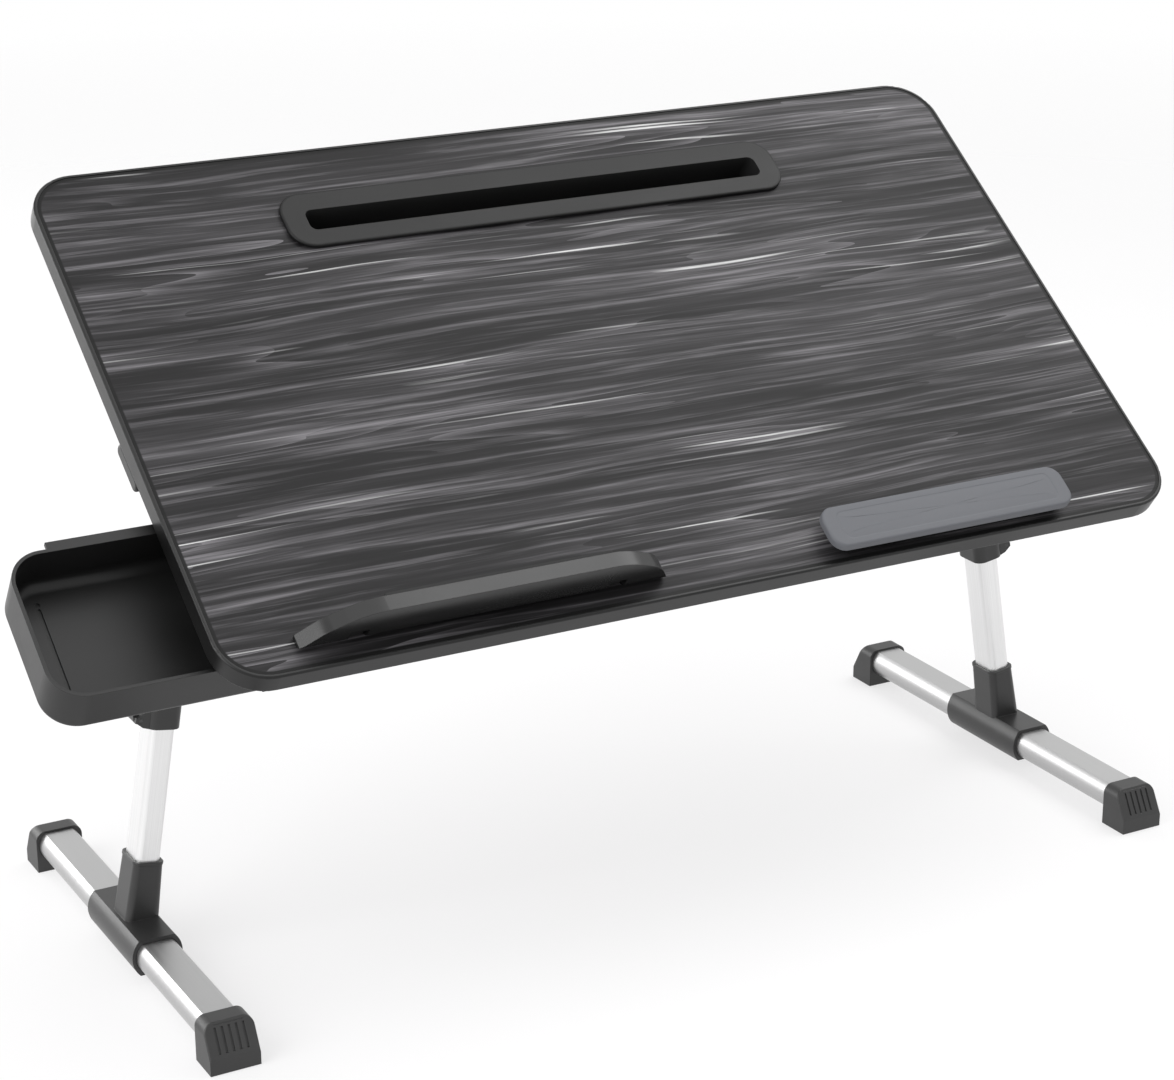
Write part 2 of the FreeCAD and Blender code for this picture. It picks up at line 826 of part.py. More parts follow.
def make_drawer():
    body = new_body("drawer_tray_body")
    left = -S.drawer_end
    right = S.drawer_long - S.drawer_end
    rim = -S.drawer_rim
    bottom = rim - S.drawer_deep
    wall = S.drawer_wall
    floor = bottom + wall
    shell = rounded(left, right, S.drawer_near, S.drawer_far, S.drawer_corner)
    extrude(body, "shell", "XY_Plane", shell, bottom, rim)
    soften(body, "shell_round", S.drawer_outer_round, at_height(bottom))
    hollow = rounded(
        left + wall, right - wall, S.drawer_near + wall, S.drawer_far - wall, S.drawer_corner - wall
    )
    extrude(body, "hollow", "XY_Plane", hollow, floor, rim + S.overrun, cut=True)
    soften(body, "hollow_round", S.drawer_inner_round, at_height(floor))
    end = right - S.drawer_corner
    for name, start, inner, outer in (
        ("far_flange", S.far_flange_start, S.drawer_far - wall / 2, S.drawer_far + S.flange_reach),
        ("near_flange", S.near_flange_start, S.drawer_near - S.flange_reach, S.drawer_near + wall / 2),
    ):
        first = left + start
        points = [(first, inner), (end, inner), (end, outer), (first, outer)]
        extrude(body, name, "XY_Plane", polygon(points), rim - S.flange_thick, rim)
    line_u = left + S.groove_line_in
    half = S.floor_groove_wide / 2
    near, far = S.drawer_near + S.groove_line_near, S.drawer_far - S.groove_line_far
    low, high = floor - S.floor_groove_deep, floor + S.overrun
    groove = rounded(line_u - half, line_u + half, near, far, S.floor_groove_corner)
    extrude(body, "floor_groove", "XY_Plane", groove, low, high, cut=True)
    dot = circles([(line_u, far + S.floor_dot_gap)], S.floor_dot_radius)
    extrude(body, "floor_dot", "XY_Plane", dot, low, high, cut=True)
    keep("drawer_tray", body, TOP_PLACE)


def make_rail(node, edge, side, start):
    """A C-shaped rail from start; edge is the drawer's outer wall and side the way the rail opens from it."""
    under = -BOARD_UNDER
    slot_top = -(S.drawer_rim - S.rail_slot_gap)
    slot_low = -(S.drawer_rim + S.flange_thick + S.rail_slot_gap)
    near = S.rail_gap
    web = S.flange_reach + S.rail_gap
    back = web + S.rail_wall
    foot = back + S.rail_foot_reach
    bottom = slot_low - S.rail_lip_thick
    foot_low = under - S.rail_foot_thick
    shape = [
        (near, under), (foot, under), (foot, foot_low), (back, foot_low), (back, bottom),
        (near, bottom), (near, slot_low), (web, slot_low), (web, slot_top), (near, slot_top),
    ]
    points = [(edge + side * reach, height) for reach, height in shape]
    body = new_body(node + "_body")
    extrude(body, "section", "YZ_Plane", polygon(points), start, S.rail_long - S.rail_start)
    holes = [place for place in rail_screw_places() if (place[1].value > edge.value) == (side > 0)]
    large = circles(holes, S.screw_radius + S.hole_gap)
    extrude(body, "screw_holes", "XY_Plane", large, foot_low - S.overrun, under + S.overrun, cut=True)
    if side < 0:
        seat = circles(left_screw_places(), S.small_head_radius + S.rest_gap)
        deep = S.small_head_thick + S.rest_gap
        extrude(body, "head_seat", "XY_Plane", seat, under - deep, under + S.overrun, cut=True)
    keep(node, body, TOP_PLACE)


def make_rails():
    make_rail("drawer_rail_far", S.drawer_far, 1, -S.rail_start)
    make_rail("drawer_rail_near", S.drawer_near, -1, S.near_rail_cut - S.rail_start)
    tip = -(S.laminate_thick + S.screw_tip_cover + S.hole_gap)
    head = -(BOARD_UNDER + S.rail_foot_thick + S.screw_head_thick)
    reach = tip - head - S.screw_head_thick
    places = [(u, v, head, reach) for u, v in rail_screw_places()]
    low = -(BOARD_UNDER + S.stop_block_high + S.screw_head_thick)
    places += [(u, v, low, tip - low - S.screw_head_thick) for u, v in stop_block_screw_places()]
    screw_group("rail_screws", places, S.screw_head_radius, S.screw_head_thick, S.screw_radius, TOP_PLACE)


def make_drawer_stop():
    u = S.drawer_long + S.drawer_travel + S.rail_gap - S.drawer_end
    body = new_body("drawer_stop_body")
    points = [
        (u, S.drawer_near + S.stop_block_inset),
        (u + S.stop_block_long, S.drawer_near + S.stop_block_inset),
        (u + S.stop_block_long, S.drawer_far - S.stop_block_inset),
        (u, S.drawer_far - S.stop_block_inset),
    ]
    low = -(BOARD_UNDER + S.stop_block_high)
    extrude(body, "block", "XY_Plane", polygon(points), low, -BOARD_UNDER)
    large = circles(stop_block_screw_places(), S.screw_radius + S.hole_gap)
    extrude(body, "screw_holes", "XY_Plane", large, low - S.overrun, S.overrun - BOARD_UNDER, cut=True)
    keep("drawer_stop", body, TOP_PLACE)


# The raised stop on the left and the flat stop on the right


def make_left_stop():
    body = new_body("stop_bar_left_body")
    v, axis_h = left_axis()
    low = S.left_lift
    rise = S.left_high - low
    left = -S.left_end
    length = S.left_long
    tip = (left, low + rise * S.left_tip_share)
    knee = (left + length * S.left_knee_share, low + rise * S.left_knee_high_share)
    crest = (left + length * S.left_crest_share, S.left_high)
    fall = (left + length * S.left_slope_start_share, S.left_high)
    slope = (left + length * S.left_slope_end_share, low + rise * S.left_slope_high_share)
    nose = (left + length, low + rise * S.left_nose_high_share)
    outline = polygon([(left, low), tip, knee, crest, fall, slope, nose, (left + length, low)])
    near = S.left_near
    far = near + S.left_thick - S.left_pad_thick
    extrude(body, "bar", "XZ_Plane", outline, near, far)
    for name, corner, radius in (
        ("knee_round", knee, S.left_knee_round),
        ("crest_round", crest, S.left_crest_round),
        ("fall_round", fall, S.left_fall_round),
        ("nose_round", slope, S.left_nose_round),
    ):
        soften(body, name, radius, along("y", x=[corner[0]], z=[corner[1]]))
    soften(body, "roll", S.left_roll - S.left_lift, along("x", y=[near], z=[low]))
    half = S.lug_wide / 2 + S.lug_side_gap
    top = axis_h + S.lug_half_thick + S.run_gap
    start = low - S.overrun
    for u in lug_places(left, length):
        notch = [(u - half, start), (u + half, start), (u + half, top), (u - half, top)]
        extrude(body, "lug_notch", "XZ_Plane", polygon(notch), near - S.overrun, far + S.overrun, cut=True)
    bore = circles([(v, axis_h)], S.stop_pin_radius + S.turn_fit)
    first, last = left + S.stop_pin_end_inset, left + length - S.stop_pin_end_inset
    extrude(body, "pin_bore", "YZ_Plane", bore, first - S.rest_gap, last + S.rest_gap, cut=True)
    keep("stop_bar_left", body, TOP_PLACE)

    pad = new_body("stop_pad_left_body")
    pad_low = axis_h + S.lug_half_thick + S.run_gap
    first, last = left + length * S.left_facing_start_share, left + length * S.left_facing_end_share
    face = rounded(first, last, pad_low, S.left_high, S.left_pad_thick)
    extrude(pad, "facing", "XZ_Plane", face, far, far + S.left_pad_thick)
    keep("stop_pad_left", pad, TOP_PLACE)


def make_right_stop():
    pad = new_body("stop_pad_right_body")
    left, right = S.right_start, S.right_start + S.right_long
    outline = rounded(left, right, S.right_near, S.right_far, S.right_corner)
    extrude(pad, "cushion", "XY_Plane", outline, S.right_pad_low, S.right_high)
    soften(pad, "cushion_round", S.right_pad_round, at_height(S.right_high))
    keep("stop_pad_right", pad, TOP_PLACE)

    body = new_body("stop_bar_right_body")
    v, axis_h = right_axis()
    inner = rounded(
        left + S.carrier_inset_end, right - S.carrier_inset_end,
        S.right_near + S.carrier_inset_near, S.right_far - S.carrier_inset_far, S.carrier_corner,
    )
    extrude(body, "carrier", "XY_Plane", inner, S.carrier_lift, S.right_pad_low)
    soften(body, "carrier_round", S.carrier_round, at_height(S.carrier_lift))
    half = S.lug_wide / 2 + S.lug_side_gap
    start = v - S.lug_half_thick - S.run_gap * 2
    end = S.right_far + S.overrun
    for u in lug_places(left, S.right_long):
        notch = [(u - half, start), (u + half, start), (u + half, end), (u - half, end)]
        top = S.right_pad_low + S.overrun
        extrude(body, "lug_notch", "XY_Plane", polygon(notch), S.carrier_lift - S.overrun, top, cut=True)
    bore = circles([(v, axis_h)], S.stop_pin_radius + S.turn_fit)
    first = left + S.carrier_inset_end + S.stop_pin_end_inset - S.rest_gap
    last = right - S.carrier_inset_end - S.stop_pin_end_inset + S.rest_gap
    extrude(body, "pin_bore", "YZ_Plane", bore, first, last, cut=True)
    keep("stop_bar_right", body, TOP_PLACE)


def make_stop_hinge(side, start, length, axis, pin_inset):
    """Two lugs on the tabletop and the pin through them."""
    v, high = axis
    half = S.lug_half_thick
    pieces = []
    for u in lug_places(start, length):
        first, last = u - S.lug_wide / 2, u + S.lug_wide / 2
        over = S.overrun
        stem = block("lug_stem", first, last, v - half, v + half, 0, high)
        head = rod("lug_head", "x", half, first, last, v, high)
        bore = rod("lug_bore", "x", S.stop_pin_radius + S.seat_fit, first - over, last + over, v, high)
        hole = rod("lug_hole", "z", S.small_screw_radius + S.hole_gap, -S.overrun, high - half, u, v)
        pieces.append(cut_from("stop_lug", join("lug_body", [stem, head]), [bore, hole]))
    keep(f"stop_base_{side}", group(f"stop_base_{side}_group", pieces), TOP_PLACE)
    first, last = start + pin_inset, start + length - pin_inset
    pin = rod(f"stop_pin_{side}_rod", "x", S.stop_pin_radius, first, last, v, high)
    keep(f"stop_pin_{side}", group(f"stop_pin_{side}_group", [pin]), TOP_PLACE)


def make_stop_screws():
    head = -(BOARD_UNDER + S.small_head_thick)
    places = []
    for (u, v), (_, high) in zip(stop_screw_places(), [left_axis()] * 2 + [right_axis()] * 2):
        reach = BOARD_UNDER + high - S.lug_half_thick - S.hole_gap
        places.append((u, v, head, reach))
    screw_group(
        "stop_screws", places, S.small_head_radius, S.small_head_thick, S.small_screw_radius, TOP_PLACE
    )


# Tilt hinge of the right leg; the left one is its mirror image


def make_tilt_block():
    half = S.block_half
    outer = S.neck_half
    inner = S.neck_half - S.cheek_thick
    down = -S.fold_drop
    plate_end = -(half + S.plate_thick)
    span = S.index_step_count * S.index_step_angle
    deep = -S.neck_bottom
    barrel = rod("barrel", "x", S.barrel_radius, plate_end, half, 0, 0)
    neck = block("neck", -half, half, -outer, outer, deep, -S.neck_top)
    pieces = [barrel, neck]
    for y0, y1 in ((inner, outer), (-outer, -inner)):
        pieces.append(block("cheek", -half, half, y0, y1, down, deep))
        pieces.append(rod("cheek_end", "y", half, y0, y1, 0, down))
    start = S.index_start_angle
    first = start - S.plate_margin_angle
    whole = span + S.plate_margin_angle * 2
    sector = wedge("index_sector", S.plate_radius, plate_end, -half, first, whole)
    pieces.append(sector)
    lug_in = S.sleeve_half_x + S.rest_gap
    lug_out = lug_in + S.lug_thick
    lug = [block("rest_lug", lug_in, lug_out, -outer, outer, -S.lug_down, S.lug_up)]
    for y0, y1 in ((inner, outer), (-outer, -inner)):
        lug.append(block("lug_bridge", 0, lug_out, y0, y1, -S.lug_thick, S.lug_up))
    pieces.append(join("rest_lug_group", lug, FOLD_IN_BLOCK))
    body = join("block_body", pieces)
    groove = S.slot_pin_radius + S.hole_gap
    wide = S.index_radius + groove
    narrow = S.index_radius - groove
    over = S.overrun
    cut_start, cut_end = plate_end - over, S.slot_relief - half
    ring = wedge("slot_ring", wide, cut_start, cut_end, start, span)
    core = wedge("slot_core", narrow, cut_start - over, cut_end + over, start, span)
    tools = [cut_from("index_slot", ring, [core])]
    for step in range(int(S.index_step_count.value) + 1):
        angle = math.radians(start.value + step * S.index_step_angle.value)
        y = S.index_radius * math.cos(angle)
        z = S.index_radius * math.sin(angle)
        tools.append(rod("scallop", "x", S.shoulder_radius + S.hole_gap, cut_start, cut_end, y, z))
    through = half + S.plate_thick + S.overrun
    across = outer + S.overrun
    snug = S.axle_radius + S.seat_fit
    tools.append(rod("axle_bore", "x", snug, -through, through, 0, 0))
    tools.append(rod("fold_bore", "y", snug, -across, across, 0, down))
    keep("tilt_block_right", cut_from("tilt_block_cut", body, tools), BLOCK_PLACE)


def bracket_cheeks():
    """(inner start, inner end, outer start, outer end) of the bracket's cheeks along the axle."""
    inner_end = -(S.block_half + S.plate_thick + S.rest_gap + S.hole_gap * 2)
    outer_start = S.block_half + S.rest_gap + S.hole_gap * 2
    return inner_end - S.bracket_thick, inner_end, outer_start, outer_start + S.bracket_thick


def make_axle():
    inner_start, _, _, outer_end = bracket_cheeks()
    first = inner_start - S.rest_gap
    last = outer_end + S.rest_gap
    pieces = [
        rod("axle", "x", S.axle_radius, first, last, 0, 0),
        rod("axle_nut", "x", S.axle_head_radius, first - S.axle_head_thick, first, 0, 0),
        rod("axle_head", "x", S.axle_head_radius, last, last + S.axle_head_thick, 0, 0),
    ]
    keep("tilt_axle_right", join("tilt_axle_body", pieces), BLOCK_PLACE)


def make_fold_pin():
    half = S.neck_half + S.seat_fit
    end = half + S.pin_head_thick
    down = -S.fold_drop
    pieces = [
        rod("fold_rod", "y", S.axle_radius, -half, half, 0, down),
        rod("fold_head_near", "y", S.pin_head_radius, -end, -half, 0, down),
        rod("fold_head_far", "y", S.pin_head_radius, half, end, 0, down),
    ]
    keep("fold_pin_right", join("fold_pin_body", pieces), BLOCK_PLACE)


def make_bracket():
    inner_start, inner_end, outer_start, outer_end = bracket_cheeks()
    top = UNDER_AXLE
    low = top - S.bracket_thick
    radius = S.barrel_radius
    boss = S.peg_boss_radius
    pieces = [
        block("base_plate", -S.bracket_inner, S.bracket_outer, -S.bracket_near, S.bracket_far, low, top),
        rod("outer_eye", "x", radius, outer_start, outer_end, 0, 0),
        block("outer_cheek", outer_start, outer_end, -radius, radius, 0, low),
        rod("inner_eye", "x", radius, inner_start, inner_end, 0, 0),
        block("inner_cheek", inner_start, inner_end, PEG_V - boss, radius, PEG_H, low),
        rod("peg_boss", "x", boss, inner_start, inner_end, PEG_V, PEG_H),
        block("peg_web", inner_start, inner_end, PEG_V, 0, PEG_H - boss, 0),
        block(
            "spring_wall", -S.bracket_inner, S.spring_wall_thick - S.bracket_inner,
            -S.spring_wall_near, -S.spring_wall_far, S.spring_wall_low, low,
        ),
        block(
            "tunnel", S.tunnel_start, S.tunnel_end, -S.bracket_near,
            S.slider_wall - S.slider_far, S.slider_low - S.slider_wall, low,
        ),
    ]
    gap = S.slider_gap
    over = S.overrun
    wide = S.shoulder_radius + S.run_gap
    tools = [
        rod("axle_hole", "x", S.axle_radius + S.turn_fit, inner_start - over, outer_end + over, 0, 0),
        rod("peg_hole", "x", wide, inner_start - over, inner_end + over, PEG_V, PEG_H),
        block(
            "slider_way", S.tunnel_start - S.overrun, S.tunnel_end + S.overrun,
            -(S.slider_near + gap), -(S.slider_far - gap), S.slider_low - gap, S.slider_high + gap,
        ),
    ]
    for w, v in bracket_screw_places():
        tools.append(rod("screw_hole", "z", S.screw_radius + S.hole_gap, low - over, top + over, w, v))
    keep("tilt_bracket_right", cut_from("bracket_cut", join("bracket_body", pieces), tools), SWING_PLACE)
    head = low - S.screw_head_thick
    tip = S.axle_drop - S.laminate_thick - S.screw_tip_cover - S.hole_gap
    places = [(w, v, head, tip - low) for w, v in bracket_screw_places()]
    screw_group(
        "bracket_screws_right", places, S.screw_head_radius, S.screw_head_thick, S.screw_radius, SWING_PLACE
    )


def make_clip():
    inner_start, _, _, _ = bracket_cheeks()
    arm_out = inner_start - S.arm_gap
    arm_in = arm_out - S.arm_thick
    paddle_in = S.paddle_out - S.paddle_thick
    shoulder_end = -(S.block_half + S.plate_thick + S.rest_gap)
    pin_end = S.pin_tip - S.block_half
    near = -S.slider_near
    paddle = new_body("paddle_body")
    outline = rounded(-S.paddle_near, -S.paddle_far, S.paddle_low, S.paddle_high, S.paddle_corner)
    extrude(paddle, "paddle", "YZ_Plane", outline, paddle_in, S.paddle_out)
    soften(paddle, "paddle_edge", S.paddle_round, at_place_x(S.paddle_out))
    pieces = [
        paddle,
        block("slider", arm_in, paddle_in + S.overrun, near, -S.slider_far, S.slider_low, S.slider_high),
        block("arm", arm_in, arm_out, near, PEG_V + S.arm_margin, PEG_H - S.arm_margin, S.slider_high),
        rod("shoulder", "x", S.shoulder_radius, arm_in, shoulder_end, PEG_V, PEG_H),
        rod("index_pin", "x", S.slot_pin_radius, arm_in, pin_end, PEG_V, PEG_H),
    ]
    keep("tilt_clip_right", join("clip_body", pieces), SWING_PLACE)


def at_place_x(place):
    """Choose the edges that lie in one plane across x."""

    def chosen(edge):
        box = edge.BoundBox
        return same(box.XMin, place) and same(box.XMax, place)

    return chosen


def make_clip_spring():
    """A coil between the bracket's inner wall and the clip's arm."""
    inner_start, _, _, _ = bracket_cheeks()
    arm_in = inner_start.value - S.arm_gap.value - S.arm_thick.value
    wall = S.spring_wall_thick.value - S.bracket_inner.value
    wire = S.spring_wire.value
    seat = S.seat_fit.value
    start = wall + wire + seat
    length = arm_in - wire - seat - start
    coil = Part.makeHelix(length / S.spring_turn_count.value, length, S.spring_radius.value)
    section = Part.Wire([Part.makeCircle(wire, Vector(S.spring_radius.value, 0, 0), AXIS["y"])])
    solid = Part.Wire(coil).makePipeShell([section], True, True)
    middle_v = -(S.slider_near.value + S.slider_far.value) / 2
    middle_h = (S.slider_low.value + S.slider_high.value) / 2
    solid.Placement = Placement(Vector(start, middle_v, middle_h), TURN["x"])
    spring = doc.addObject("Part::Feature", "clip_spring")
    spring.Shape = Part.makeCompound([solid])
    keep("clip_spring_right", spring, SWING_PLACE)


# Right leg; z runs up along the leg from the foot bar's centre line, x points away from the stand


def latch_body_points():
    """Outline of the lever's narrow part, round its pin up to the knee."""
    x = S.latch_out
    z = LATCH_Z
    hub = S.latch_hub
    knee = z + S.latch_knee_up
    inner = S.latch_knee_out - S.latch_thick
    back = [(x + hub * across, z + hub * up) for across, up in LATCH_BACK_SHARES]
    return [(x + hub, z), (S.latch_knee_out, knee), (inner, knee)] + back


def make_upper_leg():
    body = new_body("upper_leg_body")
    top = S.leg_run - S.sleeve_shoulder
    half_x, half_y = S.sleeve_half_x, S.sleeve_half_y
    sleeve = rounded(-half_x, half_x, -half_y, half_y, S.sleeve_corner)
    extrude(body, "sleeve", "XY_Plane", sleeve, S.sleeve_bottom, top)
    soften(body, "sleeve_round", S.shoulder_round, at_height(top))
    fit = S.tube_fit
    bore_x, bore_y = S.tube_half_x + fit, S.tube_half_y + fit
    bore = rounded(-bore_x, bore_x, -bore_y, bore_y, S.tube_corner + fit)
    extrude(body, "bore", "XY_Plane", bore, S.sleeve_bottom - S.overrun, top - S.sleeve_web, cut=True)
    half = S.knuckle_half
    radius = S.knuckle_radius
    start = top - S.overrun
    shape = [(-radius, start), (radius, start), (radius, S.leg_run), (-radius, S.leg_run)]
    extrude(body, "knuckle", "XZ_Plane", polygon(shape), -half, half)
    extrude(body, "knuckle_end", "XZ_Plane", circles([(0, S.leg_run)], radius), -half, half)
    x = S.latch_out
    root = (bore_x + half_x) / 2
    ear = [
        (root, S.sleeve_bottom),
        (x - S.latch_hub / 2, S.sleeve_bottom + S.ear_toe),
        (S.ear_reach, LATCH_Z - S.latch_pin_radius),
        (S.ear_reach, LATCH_Z + S.latch_pin_radius),
        (x, LATCH_Z + S.latch_hub),
        (root, LATCH_Z + S.latch_hub * 2),
    ]
    first = S.latch_half + S.ear_gap
    last = first + S.ear_thick
    extrude(body, "far_ear", "XZ_Plane", polygon(ear), first, last)
    extrude(body, "near_ear", "XZ_Plane", polygon(ear), -last, -first)
    wide = S.window_half_y
    window = rounded(-wide, wide, LATCH_Z - S.window_half_z, LATCH_Z + S.window_half_z, S.tube_wall)
    extrude(body, "window", "YZ_Plane", window, 0, half_x + S.overrun, cut=True)
    fold_hole = circles([(0, S.leg_run)], S.axle_radius + S.turn_fit)
    extrude(body, "fold_bore", "XZ_Plane", fold_hole, -half - S.overrun, half + S.overrun, cut=True)
    pin_hole = circles([(x, LATCH_Z)], S.latch_pin_radius + S.seat_fit)
    extrude(body, "pin_bore", "XZ_Plane", pin_hole, -last - S.overrun, last + S.overrun, cut=True)
    keep("upper_leg_right", body, LEG_PLACE)


def make_clamp_pad():
    """The shoe behind the window that the lever presses on the tube."""
    inner = S.tube_half_x + S.turn_fit
    outer = S.latch_out - S.latch_hub - S.hole_gap * 2
    gap = S.seat_fit
    wide = S.window_half_y - gap
    high = S.window_half_z - gap
    body = new_body("clamp_pad_body")
    face = rounded(-wide, wide, LATCH_Z - high, LATCH_Z + high, S.tube_wall)
    extrude(body, "shoe", "YZ_Plane", face, inner, outer)
    keep("clamp_pad_right", body, LEG_PLACE)


def make_latch():
    x = S.latch_out
    half = S.latch_half
    knee = LATCH_Z + S.latch_knee_up
    top = LATCH_Z + S.latch_long
    outer = S.latch_knee_out
    inner = outer - S.latch_thick
    body = new_body("height_latch_body")
    extrude(body, "hub", "XZ_Plane", circles([(x, LATCH_Z)], S.latch_hub), -half, half)
    extrude(body, "throat", "XZ_Plane", polygon(latch_body_points()), -half, half)
    wide = S.latch_wide_half
    plate = [(inner, knee), (outer, knee), (outer, top), (inner, top)]
    extrude(body, "plate", "XZ_Plane", polygon(plate), -wide, wide)
    soften(body, "plate_round", S.latch_hub, along("x", y=[-wide, wide], z=[top]))
    bore = circles([(x, LATCH_Z)], S.latch_pin_radius + S.turn_fit)
    extrude(body, "pin_bore", "XZ_Plane", bore, -half - S.overrun, half + S.overrun, cut=True)
    keep("height_latch_right", body, LEG_PLACE)
    end = half + S.ear_gap + S.ear_thick
    pin = new_body("latch_pin_body")
    extrude(pin, "rod", "XZ_Plane", circles([(x, LATCH_Z)], S.latch_pin_radius), -end, end)
    keep("latch_pin_right", pin, LEG_PLACE)


def make_leg_tube():
    body = new_body("leg_tube_body")
    half_x, half_y, wall = S.tube_half_x, S.tube_half_y, S.tube_wall
    outer = rounded(-half_x, half_x, -half_y, half_y, S.tube_corner)
    extrude(body, "tube", "XY_Plane", outer, S.tube_start, S.tube_end)
    inner = rounded(wall - half_x, half_x - wall, wall - half_y, half_y - wall, S.tube_corner - wall)
    extrude(body, "bore", "XY_Plane", inner, S.tube_start - S.overrun, S.tube_end + S.overrun, cut=True)
    keep("leg_tube_right", body, LEG_PLACE)


def bar_outline(inset):
    return oval(S.bar_flat - inset, S.bar_half - inset, S.bar_bottom + inset, S.bar_top - inset)


def tee_screw_tools(low, high):
    places = (-S.tee_screw_place, S.tee_screw_place)
    radius = S.small_screw_radius + S.hole_gap
    return [rod("tee_hole", "z", radius, low, high, 0, y) for y in places]


def make_foot_tee():
    sleeve = new_body("tee_sleeve")
    long = S.tee_half_long
    wall = S.tee_wall
    outline = oval(S.tee_flat, S.bar_half + wall, S.bar_bottom - wall, S.bar_top + wall)
    extrude(sleeve, "sleeve", "XZ_Plane", outline, -long, long)
    socket = new_body("tee_socket")
    base, top = S.socket_half_base, S.socket_half_top
    half_y = S.socket_half_y
    bead = S.socket_top - S.socket_bead
    taper = [(-base, 0), (base, 0), (top, bead), (-top, bead)]
    extrude(socket, "socket", "XZ_Plane", polygon(taper), -half_y, half_y)
    soften(socket, "socket_round", S.socket_corner, runs_up)
    out = S.socket_bead_out
    rim = rounded(-top - out, top + out, -half_y - out, half_y + out, S.socket_corner + out)
    extrude(socket, "bead", "XY_Plane", rim, bead, S.socket_top)
    soften(socket, "bead_round", out, at_height(S.socket_top))
    socket.Placement = LEG_IN_FOOT
    gap = S.fit_gap
    way = new_body("bar_way")
    reach = long + S.overrun
    extrude(way, "way", "XZ_Plane", bar_outline(-gap), -reach, reach)
    seat = new_body("tube_seat")
    half_x = S.tube_half_x + gap
    wide_y = S.tube_half_y + gap
    outline = rounded(-half_x, half_x, -wide_y, wide_y, S.tube_corner + gap)
    extrude(seat, "seat", "XY_Plane", outline, S.tube_start, S.socket_top + S.overrun)
    seat.Placement = LEG_IN_FOOT
    tools = [way, seat] + tee_screw_tools(-S.overrun, S.bar_bottom + S.overrun)
    whole = join("foot_tee_body", [sleeve, socket])
    keep("foot_tee_right", cut_from("foot_tee_cut", whole, tools), FOOT_PLACE)
    low = S.bar_bottom - wall - S.small_head_thick
    reach = wall + S.bar_wall + S.overrun
    places = [(0, y, low, reach) for y in (-S.tee_screw_place, S.tee_screw_place)]
    screw_group(
        "tee_screws_right", places, S.small_head_radius, S.small_head_thick, S.small_screw_radius, FOOT_PLACE
    )


def runs_up(edge):
    """Choose the long edges that climb the socket."""
    if edge.Curve.TypeId != "Part::GeomLine":
        return False
    way = edge.Vertexes[-1].Point - edge.Vertexes[0].Point
    return abs(way.normalize().z) > 0.9


def make_foot_bar():
    body = new_body("foot_bar_body")
    end = S.bar_end
    extrude(body, "bar", "XZ_Plane", bar_outline(0), -end, end)
    extrude(body, "bore", "XZ_Plane", bar_outline(S.bar_wall), -end - S.overrun, end + S.overrun, cut=True)
    places = [(0, -S.tee_screw_place), (0, S.tee_screw_place)]
    holes = circles(places, S.small_screw_radius + S.hole_gap)
    low, high = S.bar_bottom - S.overrun, S.bar_bottom + S.bar_wall + S.overrun
    extrude(body, "screw_holes", "XY_Plane", holes, low, high, cut=True)
    keep("foot_bar_right", body, FOOT_PLACE)


def make_foot_cap(node, place):
    body = new_body(node + "_body")
    half = S.cap_half
    side = [
        (S.cap_start, S.cap_lift),
        (S.cap_end, S.cap_lift),
        (S.cap_end, S.cap_high),
        (S.cap_start, S.cap_high),
    ]
    extrude(body, "cap", "YZ_Plane", polygon(side), -half, half)
    soften(body, "shoulders", S.cap_shoulder, along("y", x=[half, -half], z=[S.cap_high]))
    beyond, above = S.cap_end + S.overrun, S.cap_high + S.overrun
    ramp = [
        (S.cap_end, S.cap_band),
        (beyond, S.cap_band),
        (beyond, above),
        (S.cap_ledge, above),
        (S.cap_ledge, S.cap_high),
    ]
    extrude(body, "ramp", "YZ_Plane", polygon(ramp), -half - S.overrun, half + S.overrun, cut=True)
    soften(body, "ramp_round", S.cap_slope_round, cap_ramp_edge)
    start = S.cap_start - S.overrun
    extrude(body, "bar_seat", "XZ_Plane", bar_outline(-S.fit_gap), start, S.bar_end, cut=True)
    slope = S.cap_high - S.cap_band
    lean = S.cap_end - S.cap_ledge
    low = (S.cap_end - lean * S.groove_start_share, S.cap_band + slope * S.groove_start_share)
    high = (S.cap_end - lean * S.groove_end_share, S.cap_band + slope * S.groove_end_share)
    strip = polygon([
        (low[0] - S.groove_deep, low[1]),
        (low[0] + S.overrun, low[1]),
        (high[0] + S.overrun, high[1]),
        (high[0] - S.groove_deep, high[1]),
    ])
    count = int(S.groove_count.value)
    for index in range(count):
        middle = S.groove_pitch * (index - (count - 1) / 2)
        half_wide = S.groove_wide / 2
        extrude(body, "groove", "YZ_Plane", strip, middle - half_wide, middle + half_wide, cut=True)
    first = S.cap_end - S.pad_inset - S.pad_long
    recess = rounded(-S.pad_half_x, S.pad_half_x, first, first + S.pad_long, S.pad_thick)
    extrude(body, "pad_recess", "XY_Plane", recess, -S.overrun, S.pad_thick, cut=True)
    keep(node, body, place)


def cap_ramp_edge(edge):
    """Choose the edges round a cap's slope."""
    drop = S.cap_high.value - S.cap_band.value
    lean = S.cap_end.value - S.cap_ledge.value
    ends = [vertex.Point for vertex in edge.Vertexes]
    return all(same((end.y - S.cap_ledge.value) * drop, (S.cap_high.value - end.z) * lean) for end in ends)


def make_foot_pads():
    bodies = []
    for turn in (0, 180):
        body = new_body("pad_body")
        first = S.cap_end - S.pad_inset - S.pad_long
        sole = rounded(-S.pad_half_x, S.pad_half_x, first, first + S.pad_long, S.pad_thick)
        extrude(body, "sole", "XY_Plane", sole, 0, S.pad_thick)
        body.Placement = Placement(Vector(), Rotation(AXIS["z"], turn))
        bodies.append(body)
    keep("foot_pads_right", group("foot_pads_group", bodies), FOOT_PLACE)


